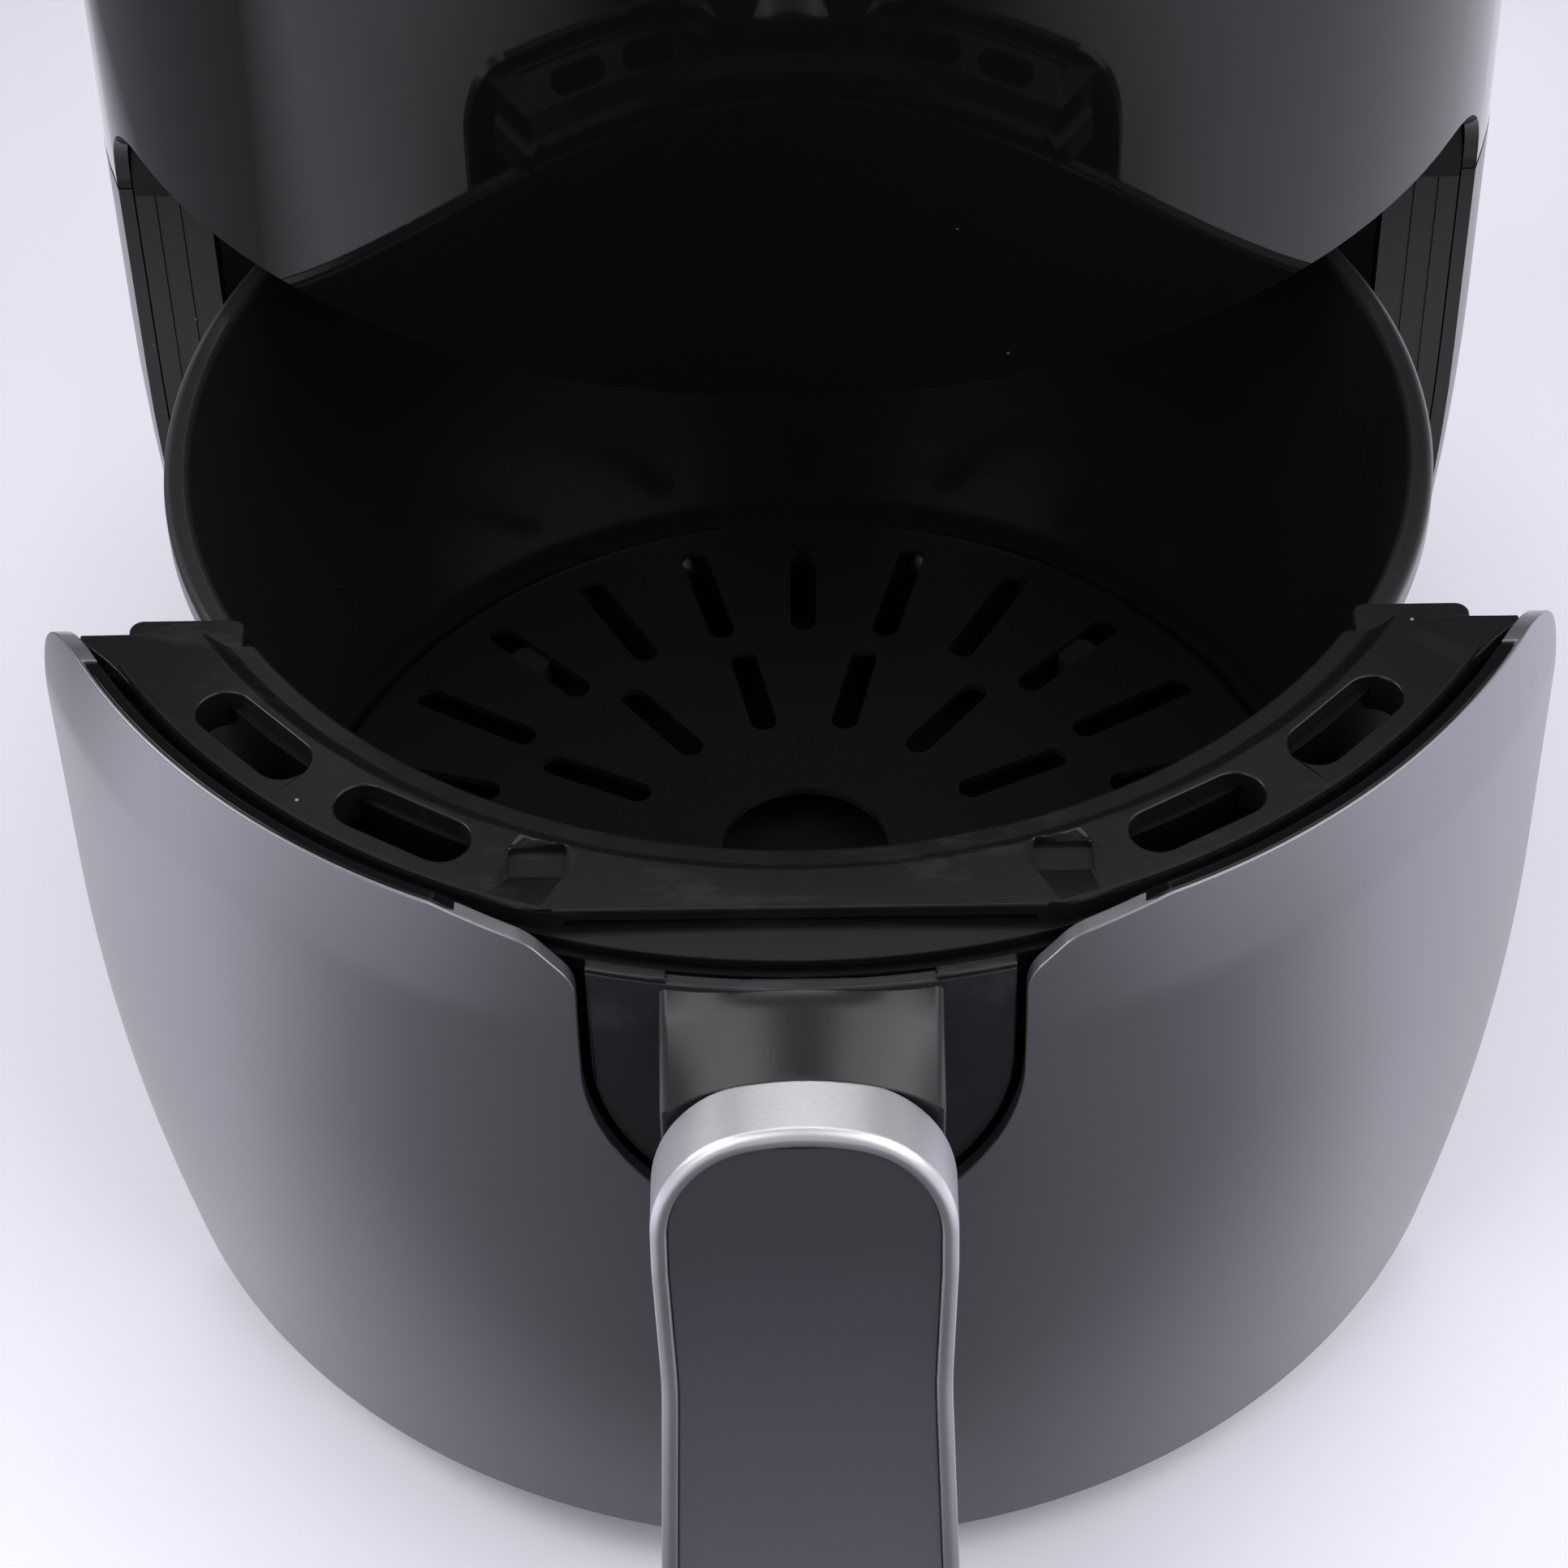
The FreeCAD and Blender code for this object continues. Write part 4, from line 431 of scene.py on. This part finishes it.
def trimmed(piece, front=None, back=None):
    # above the drawer's bowl, what lies in front of one y or behind another is cut off
    low, high, far = 150, 200, 150
    if back is not None:
        corners = [(back, low), (far, low), (far, high), (back, high)]
        piece = carved(piece, prism("backCut", corners, "X", *cutWide))
    if front is not None:
        corners = [(-200, low), (front, low), (front, high), (-200, high)]
        piece = carved(piece, prism("frontCut", corners, "X", *cutWide))
    return piece


def softened(piece, width, gap, parts=3, angle=40):
    # small roundings on all sharp edges, with shading that keeps the flats flat
    tidied(piece, gap)
    pick(piece)
    if width:
        bpy.ops.object.modifier_add(type="BEVEL")
        bevel = piece.modifiers[-1]
        bevel.width = width * mm
        bevel.segments = parts
        bevel.limit_method = "ANGLE"
        bevel.angle_limit = math.radians(angle)
        bevel.use_clamp_overlap = False
        bevel.harden_normals = False
        bpy.ops.object.modifier_apply(modifier=bevel.name)
    bpy.ops.object.shade_smooth_by_angle(angle=math.radians(35))
    bpy.ops.object.modifier_add(type="WEIGHTED_NORMAL")
    normal = piece.modifiers[-1]
    normal.mode = "FACE_AREA"
    normal.keep_sharp = True
    bpy.ops.object.modifier_apply(modifier=normal.name)
    return piece


def placed(piece, body, slot, finish, *replaced):
    # finish put on, the piece hung on its body, and the parts it replaces hidden
    clearAll()
    piece.data.materials.clear()
    piece.data.materials.append(finish)
    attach(piece, body)
    for node in replaced:
        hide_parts(node)
    print("piece", piece.name, len(piece.data.polygons), "faces")


# drawer front: a flared shell with upright wings and a notch for the grip's plate
shell = {
    "profile": [(127, 11.5), (136, 62, 520), (136, 151, 60), (134.2, 171), (131.4, 171),
                (133.2, 151, 60), (133.2, 62, 300), (124.8, 14.5), (122, 14.5), (122, 11.5)],
    "back": [(-49.5, -5), (-49.5, 171.2, 16.5), (-90, 171.2), (-90, 200), (150, 200), (150, -5)],
    "notch": [(34.5, 108.5, 34.4), (34.5, 162, 6), (41.5, 168.2, 8), (56.5, 171), (56.5, 193)],
    "groove": [(131.0, 170.15), (133.5, 170.15), (133.5, 175), (131.0, 175)],
    "grooveBack": -66.5,
    "edge": 0.28,
    "strip": [(131.2, 169.6), (131.2, 170.75, 0.5), (133.35, 170.75, 0.3), (133.35, 169.6)],
    "stripNotch": [(35, 108, 34), (35, 162, 6), (42, 168, 8), (57, 171), (57, 193)],
    "stripGap": 0.3,
    "stripEdge": 0.15,
}
drawerShell = swept("drawerShell", shell["profile"])
drawerShell = carved(drawerShell, prism("wingCut", shell["back"], "X", *cutWide))
drawerShell = carved(drawerShell, prism("notchCut", mirrored(shell["notch"]), "Y", *cutFront, pitch=3))
groove = trimmed(swept("stripGroove", shell["groove"]), back=shell["grooveBack"])
drawerShell = carved(drawerShell, groove)
softened(drawerShell, shell["edge"], gap=0.25)
placed(drawerShell, "drawer", "graphite_shell", finishes["graphite_shell"], "drawer_front")
strip = trimmed(swept("rimStrip", shell["strip"]), back=shell["grooveBack"] - shell["stripGap"])
strip = carved(strip, prism("stripCut", mirrored(shell["stripNotch"]), "Y", *cutFront, pitch=3))
softened(strip, shell["stripEdge"], gap=0.03, parts=2)
placed(strip, "drawer", "gloss_black", finishes["gloss_black"])
print("drawer front made")

# pan: drawn bowl with a rolled rim
pan = {
    "profile": [(0, 45), (97.5, 45, 14), (105.5, 163, 1.3), (110, 163, 1.8), (110, 157.2, 0.5),
                (108.9, 157.2, 0.5), (108.9, 161.6, 0.8), (106.9, 161.6, 1), (98.9, 43.8, 15), (0, 43.8)],
    "steps": 288,
}
panBowl = swept("panBowl", pan["profile"], pan["steps"])
softened(panBowl, 0, gap=0.02)
placed(panBowl, "drawer", "nonstick_coat", finishes["nonstick_coat"], "pan")
print("pan made")

# frame round the pan: raised deck with four slots, a front step and two rear ledges
deck = {
    "profile": [(106, 163.3), (106, 166, 0.9), (110.2, 166, 1.6), (113.2, 169, 1.5), (128.6, 169),
                (128.6, 155), (127, 155), (127, 166.6), (114, 166.6), (110.6, 163.6), (107.2, 163.3)],
    "front": -121.8,
    "back": -58,
    "flare": [(104, -70), (108.0, -70), (112.4, -64.4, 9), (117.3, -59.4), (117.4, -58.03), (104, -58.03)],
    "flareHeights": (156, 168.97),
    "slotAngles": (-46.6, -31.2, 31.2, 46.6),
    "slotRadius": 119.6,
    "slotSize": (24.0, 9.2),
    "slotHeights": (150, 175),
    "collarWall": 2,
    "collarHeights": (161.5, 168),
    "recess": [(36, -114.5, 0.5), (45.2, -114.5, 0.5), (45.2, -107.5, 0.5), (36, -107.5, 0.5)],
    "recessHeights": (167.6, 175),
    "edge": 0.35,
    "step": [(119, 163.6), (119, 166.1), (121, 166.1), (129.4, 165.3), (129.4, 163.6)],
    "stepArea": [(-47, -140), (47, -140), (47, -100), (-47, -100)],
    "skirt": [(125.8, 162.4), (125.8, 164.6), (129.2, 164.2), (129.2, 162.4)],
    "skirtBack": -61,
    "stepEdge": 0.3,
    "rim": [(127.5, 168.8), (127.6, 169.5), (128.3, 169.5), (128.6, 168.9), (128.6, 168.8)],
    "rimBack": -66,
    "ledge": [(91, -59.5), (110.2, -59.5, 1), (110.2, -51.5, 2.3), (91, -51.5, 2.3)],
    "ledgeHeights": (160, 166),
    "ledgeEdge": 0.5,
}


def stadium(length, width, radius):
    # long rounded slot that lies across the front of the drawer's axis
    across, deep = length / 2, width / 2
    end = deep - 0.01
    return [(-across, -radius - deep, end), (across, -radius - deep, end),
            (across, -radius + deep, end), (-across, -radius + deep, end)]


def turned(corners, angle):
    turn = Matrix.Rotation(math.radians(angle), 2)
    return [(*(turn @ Vector(corner[:2])), *corner[2:]) for corner in corners]


deckFrame = trimmed(swept("deckFrame", deck["profile"]), front=deck["front"], back=deck["back"])
for side in (-1, 1):
    flare = prism("flare", sided(deck["flare"], side), "Z", *deck["flareHeights"], pitch=2)
    deckFrame = carved(deckFrame, flare, "UNION")
length, width = deck["slotSize"]
wall = 2 * deck["collarWall"]
for angle in deck["slotAngles"]:
    collar = turned(stadium(length + wall, width + wall, deck["slotRadius"]), angle)
    deckFrame = carved(deckFrame, prism("collar", collar, "Z", *deck["collarHeights"], pitch=2), "UNION")
for angle in deck["slotAngles"]:
    hole = turned(stadium(length, width, deck["slotRadius"]), angle)
    deckFrame = carved(deckFrame, prism("slotHole", hole, "Z", *deck["slotHeights"], pitch=2))
softened(deckFrame, deck["edge"], gap=0.28)
for side in (-1, 1):
    recess = prism("recess", sided(deck["recess"], side), "Z", *deck["recessHeights"], pitch=2)
    deckFrame = carved(deckFrame, recess)
softened(deckFrame, 0, gap=0.02)
placed(deckFrame, "drawer", "satin_black", satinMoulding("deckBlack", dust=0.02, ior=1.40), "vent_frame")

frontStep = swept("frontStep", deck["step"])
frontStep = carved(frontStep, prism("stepArea", deck["stepArea"], "Z", *cutHigh), "INTERSECT")
softened(frontStep, deck["stepEdge"], gap=0.05, parts=2)
stepFinish = satinMoulding("stepBlack", (0.003, 0.003, 0.0035), rough=0.36, ior=1.28)
placed(frontStep, "drawer", "satin_black", stepFinish)
stepSkirt = trimmed(swept("stepSkirt", deck["skirt"]), back=deck["skirtBack"])
softened(stepSkirt, deck["stepEdge"], gap=0.05, parts=2)
placed(stepSkirt, "drawer", "satin_black", finishes["satin_black"])
rimLine = trimmed(swept("deckRimLine", deck["rim"]), front=deck["front"], back=deck["rimBack"])
softened(rimLine, 0, gap=0.02)
placed(rimLine, "drawer", "satin_black", finishes["satin_black"])
for side, word in ((-1, "Left"), (1, "Right")):
    ledge = prism("rearLedge" + word, sided(deck["ledge"], side), "Z", *deck["ledgeHeights"], pitch=2)
    softened(ledge, deck["ledgeEdge"], gap=0.03)
    placed(ledge, "drawer", "satin_black", finishes["satin_black"])
print("slotted frame made")

# grip: plate in the notch, metal frame, inlay, core and finger shell
grip = {
    "plate": [(33, 110, 32.9), (33, 163.2)],
    "plateRing": [(131.1, 105), (133.5, 105), (133.5, 163.2), (131.1, 163.2)],
    "plateEdge": 0.4,
    "bead": [(131.1, 162.8), (131.1, 164.1), (133.4, 164.1), (133.4, 162.8)],
    "beadReach": (20.5, 33.0),
    "beadDepths": (-140, -110),
    "beadEdge": 0.35,
    "head": (0, 156.5, 38),
    "right": [(23.5, 152.3, 18.5), (23.5, 130, 40), (22.6, 108, 90), (25, 35.0, 15)],
    "bend": (-166.0, 113.0, 260),      # where the face leans most forward: y, height and radius
    "lean": (0.24, 0.27),              # how fast it falls back above and below the bend
    "depth": 11.0,
    "frame": 2.6,                      # width of the metal frame seen from the front
    "frameRounds": ((1.5, 6), (0.5, 3)),
    "gap": 0.1,
    "sink": 0.8,
    "inlay": 2.4,
    "inlayEdge": 0.4,
    "coreEdge": 0.3,
    "coverInset": 1.2,
    "cover": 5,
    "coverHead": [(-40, 130), (40, 130), (40, 180), (-40, 180)],
    "coverDepths": (-190, -110),
    "coverEdge": 1.8,
}


def evenly(line, pitch=3.0):
    # points added to a closed line wherever it has a long run
    done = []
    for number, here in enumerate(line):
        ahead = line[(number + 1) % len(line)]
        parts = max(1, math.ceil((ahead - here).length / pitch))
        done.extend(here.lerp(ahead, part / parts) for part in range(parts))
    return done


def gripOutline(inside):
    # arched head, waist and flared round foot, seen from the front, drawn in by a distance
    corners = [grip["head"]] + grip["right"] + sided(reversed(grip["right"]), -1)
    line = evenly(rounded(corners, pitch=900, fine=5))
    done = []
    for number, here in enumerate(line):
        way = (line[(number + 1) % len(line)] - line[number - 1]).normalized()
        done.append(here + Vector((way.y, -way.x)) * inside)
    return done


def gripLine(depth):
    # side view of the grip at a depth behind its face, from top to bottom
    low, high, far = 10.0, 200.0, 100
    bendY, bendZ, radius = grip["bend"]
    up, down = grip["lean"]
    front = bendY + depth
    line = rounded([(far, high), (front + (high - bendZ) * up, high), (front, bendZ, radius),
                    (front - (bendZ - low) * down, low), (far, low)])
    return line[1:-1]


def onGrip(points, depth):
    # points of a front outline set out to the grip's own line
    line = gripLine(depth)
    done = []
    for point in points:
        for above, below in zip(line, line[1:]):
            if below.y <= point.y <= above.y:
                part = (above.y - point.y) / (above.y - below.y)
                done.append(Vector((point.x, above.x + (below.x - above.x) * part + centreY, point.y)))
                break
    return done


def gripSlab(name, inside, near, far):
    # solid between two depths of the grip, made as rungs from its right to its left side
    right = [point for point in gripOutline(inside) if point.x > 0.3]
    lowest = min(point.y for point in right)
    keep = next(number for number, point in enumerate(right) if point.y < lowest + 0.05) + 1
    right = right[:keep]
    left = [Vector((-point.x, point.y)) for point in right]
    return bridged(name, onGrip(right, near), onGrip(left, near), False, (0, far - near, 0))


def onLine(face):
    # a test of whether a corner is one of a line's points
    return lambda place: min((place / mm - point).length for point in face) < 0.05


gripBlack = satinMoulding("gripBlack", (0.012, 0.012, 0.0145), rough=0.27, dust=0.008)
plate = swept("gripPlate", grip["plateRing"])
plate = carved(plate, prism("plateArea", mirrored(grip["plate"]), "Y", *cutFront, pitch=2), "INTERSECT")
softened(plate, grip["plateEdge"], gap=0.15)
placed(plate, "drawer", "satin_black", gripBlack, "handle_bracket")
low, high = grip["beadReach"]
front, back = grip["beadDepths"]
beadArea = [(low, front), (high, front), (high, back), (low, back)]
for side, word in ((-1, "Left"), (1, "Right")):
    bead = swept("plateBead" + word, grip["bead"])
    bead = carved(bead, prism("beadArea", sided(beadArea, side), "Z", *cutHigh), "INTERSECT")
    softened(bead, grip["beadEdge"], gap=0.1)
    placed(bead, "drawer", "satin_black", finishes["satin_black"])
print("plate made")

outerFace = onGrip(gripOutline(0), 0)
innerFace = onGrip(gripOutline(grip["frame"]), 0)
trim = bridged("gripTrim", outerFace, innerFace, True, (0, grip["depth"], 0))
for face, (width, parts) in zip((outerFace, innerFace), grip["frameRounds"]):
    bevelled(trim, onLine(face), width, parts)
softened(trim, 0, gap=0.01)
placed(trim, "drawer", "satin_metal", finishes["satin_metal"], "handle_trim")
inside = grip["frame"] + grip["gap"]
behindInlay = grip["sink"] + grip["inlay"]
inlay = gripSlab("gripInlay", inside, grip["sink"], behindInlay)
softened(inlay, grip["inlayEdge"], gap=0.02, angle=50)
placed(inlay, "drawer", "inlay_black", finishes["inlay_black"], "handle_inlay")
core = gripSlab("gripCore", inside, behindInlay, grip["depth"])
softened(core, grip["coreEdge"], gap=0.02, parts=2, angle=50)
placed(core, "drawer", "satin_black", finishes["satin_black"], "handle_core")
cover = gripSlab("fingerShell", grip["coverInset"], grip["depth"], grip["depth"] + grip["cover"])
cover = carved(cover, prism("coverHead", grip["coverHead"], "Y", *grip["coverDepths"]))
softened(cover, grip["coverEdge"], gap=0.3, parts=5, angle=50)
placed(cover, "drawer", "satin_black", finishes["satin_black"], "handle_cover")
print("grip made")

# neck: joins the plate to the grip, flat on top, with a crowned ramp down to the metal frame
neck = {
    "half": 21.9,
    "top": 163.1,
    "back": -131.0,
    "crown": 4.2,                    # how much lower the front of the flat top is at its sides
    "frontBack": -134.0,
    "foot": (-145.2, 134.0),
    "head": (156.2, 14.49, 24.5),    # foot of the ramp: height, fall at the sides, half width
    "swell": 0.1,
    "ramp": [(0.18, 0.45), (0.45, 1.0), (0.75, 0.6)],    # share of the way down, share of the swell
    "sections": 28,
    "edge": (1.3, 4),
}


def neckSection(x):
    # side view of the neck at one place across it
    share = abs(x) / neck["half"]
    top = Vector((neck["frontBack"], neck["top"] - neck["crown"] * share ** 2))
    high, fall, half = neck["head"]
    sweep = math.sqrt(max(0.0, 1 - (abs(x) / half) ** 2))
    low = Vector((neck["foot"][0], high - fall * (1 - sweep)))
    swell = Vector((-neck["swell"], neck["swell"]))
    ramp = [top.lerp(low, part) + swell * amount for part, amount in neck["ramp"]]
    return [Vector((neck["back"], neck["top"])), top, *ramp, low,
            Vector(neck["foot"]), Vector((neck["back"], neck["foot"][1]))]


def lofted(name, loops):
    # equal closed lines, bridged one to the next and closed at both ends
    pieces = [traced(f"{name}{number}", loop) for number, loop in enumerate(loops)]
    clearAll()
    for piece in pieces:
        piece.select_set(True)
    bpy.context.view_layer.objects.active = pieces[0]
    bpy.ops.object.join()
    piece = bpy.context.object
    piece.name = name
    edit(piece, "EDGE")
    bpy.ops.mesh.bridge_edge_loops()
    edit(piece)
    bpy.ops.mesh.select_all(action="DESELECT")
    bpy.ops.mesh.select_non_manifold()
    bpy.ops.mesh.edge_face_add()
    return tidied(piece, 0.005)


loops = []
for number in range(neck["sections"] + 1):
    x = neck["half"] * (2 * number / neck["sections"] - 1)
    loops.append([Vector((x, point.x + centreY, point.y)) for point in neckSection(x)])
neckPiece = lofted("gripNeck", loops)
bevelled(neckPiece, lambda place: abs(place.x) > (neck["half"] - 0.01) * mm, *neck["edge"])
softened(neckPiece, 0, gap=0.01)
placed(neckPiece, "drawer", "satin_black", gripBlack)
print("neck made")


# floor, light and camera

studio = {
    "floorSize": 6.0,
    "floorColour": (0.78, 0.78, 0.85),
    "floorFall": (0.22, 0.46, 0.64),    # painted fall-off of light: it darkens from and to these distances, down to this share
    "worldColour": (0.93, 0.93, 1.0),
    "worldLevel": 0.64,
    "skyHeights": (0.05, 0.55),         # mirror rays see the sky darken between these, to the next share
    "skyDark": 0.12,
    # mirror rays also see a dark patch of floor in front: colours near and far, then its reach in y and x
    "nearShade": (0.12, 0.12, 0.135),
    "farShade": (0.012, 0.012, 0.014),
    "shadeFrom": -0.11,
    "shadeFull": -0.20,
    "shadeEnd": -0.36,
    "shadeWide": (0.18, 0.40),
    # and a second patch on the left: its reach in x and in y, and its strength
    "sideShade": ((-0.30, -0.22), (0.02, -0.06), 0.93),
    # place, width, height and power of each soft lamp
    "lamps": [((-1.2, 0.1, 1.1), 0.7, 0.7, 9.0), ((1.2, -0.2, 1.2), 1.3, 1.3, 12.0),
              ((-0.75, -0.95, 1.25), 0.75, 1.6, 7.5), ((0.75, -0.95, 1.25), 0.75, 1.6, 6.5),
              ((0.0, 0.50, 1.55), 1.5, 0.6, 5.2)],
}
camera = {
    "focal": 96.9,
    "sensor": 36.0,
    "fromRim": (0.0045, -0.565, 0.473),    # from the middle of the pan's rim
    "down": 44.81,
    "turn": -0.84,
    "roll": -1.39,
    "nearest": 0.01,
}


def studioFloor():
    # pale floor with painted light: mirror rays see painted dark patches in front and on the left, and
    # camera rays see a painted fall-off of light away from the middle
    finish = Finish("studioFloor")
    part = finish.node("ShaderNodeSeparateXYZ", {}, {"Vector": finish.place})
    across = finish.node("ShaderNodeMath", {"operation": "ABSOLUTE"}, [part["X"]])[0]
    glossy = finish.node("ShaderNodeLightPath", {}, {})["Is Glossy Ray"]
    shade = finish.spread(part["Y"], studio["shadeFull"], studio["shadeFrom"], 1.0, 0.0)
    shade = shade * finish.spread(across, *studio["shadeWide"], 1.0, 0.0)
    deep = finish.spread(part["Y"], studio["shadeEnd"], studio["shadeFull"], 1.0, 0.0)
    shadeColour = finish.blend(deep, studio["nearShade"], studio["farShade"])
    colour = finish.blend(shade * glossy, studio["floorColour"], shadeColour)
    reachX, reachY, strength = studio["sideShade"]
    side = finish.spread(part["X"], *reachX, 1.0, 0.0) * finish.spread(part["Y"], *reachY, 1.0, 0.0)
    colour = finish.blend(side * glossy * strength, colour, studio["nearShade"])
    # painted shade: for camera rays the floor darkens away from the middle, a painted fall-off of the
    # lamps' light
    away = (part["X"] * part["X"] + part["Y"] * part["Y"]) ** 0.5
    near, far, share = studio["floorFall"]
    fall = finish.spread(away, near, far, 0.0, 1 - share) * (1 - glossy)
    colour = finish.blend(fall, colour, (0.0, 0.0, 0.0))
    return finish.surface(colour=colour, rough=0.9, level=0.1)


def studioWorld(world):
    # bright all round, but mirror rays see a dark room above its low sides
    sky = Finish("studioWorld", world)
    view = sky.node("ShaderNodeTexCoord", {}, {})["Generated"]
    way = sky.node("ShaderNodeSeparateXYZ", {}, {"Vector": view})
    height = sky.spread(way["Z"], *studio["skyHeights"], 1.0, studio["skyDark"])
    glossy = sky.node("ShaderNodeLightPath", {}, {})["Is Glossy Ray"]
    level = (1 - glossy) * studio["worldLevel"] + glossy * height * studio["worldLevel"]
    back = sky.node("ShaderNodeBackground", {}, {"Color": studio["worldColour"], "Strength": level})
    sky.node("ShaderNodeOutputWorld", {}, {"Surface": back["Background"]})


clearAll()
bpy.ops.mesh.primitive_plane_add(size=studio["floorSize"], location=(0, 0, 0))
floor = bpy.context.object
floor.name = "studioFloor"
floor.data.materials.append(studioFloor())
bpy.context.scene.world = bpy.data.worlds.new("studioWorld")
studioWorld(bpy.context.scene.world)

aim = Vector((0, drawerAxis, rimTop))
for number, (place, width, height, power) in enumerate(studio["lamps"]):
    bpy.ops.object.light_add(type="AREA", location=place)
    lamp = bpy.context.object
    lamp.name = f"softLamp{number}"
    lamp.data.shape = "ELLIPSE"
    lamp.data.size = width
    lamp.data.size_y = height
    lamp.data.energy = power
    lamp.rotation_mode = "QUATERNION"
    lamp.rotation_quaternion = (aim - Vector(place)).to_track_quat("-Z", "Y")
print("floor and lamps made")

pitch, yaw, roll = (math.radians(camera[key]) for key in ("down", "turn", "roll"))
forward = Vector((math.sin(yaw) * math.cos(pitch), math.cos(yaw) * math.cos(pitch), -math.sin(pitch)))
right = Vector((math.cos(yaw), -math.sin(yaw), 0))
up = right.cross(forward)
rightTurned = right * math.cos(roll) + up * math.sin(roll)
upTurned = up * math.cos(roll) - right * math.sin(roll)
bpy.ops.object.camera_add()
eye = bpy.context.object
eye.name = "viewCamera"
eye.data.lens = camera["focal"]
eye.data.sensor_width = camera["sensor"]
eye.data.clip_start = camera["nearest"]
turnedEye = Matrix((rightTurned, upTurned, -forward)).transposed().to_4x4()
eye.matrix_world = Matrix.Translation(aim + Vector(camera["fromRim"])) @ turnedEye
bpy.context.scene.camera = eye
bpy.context.scene.view_settings.view_transform = "Standard"
print("camera set")
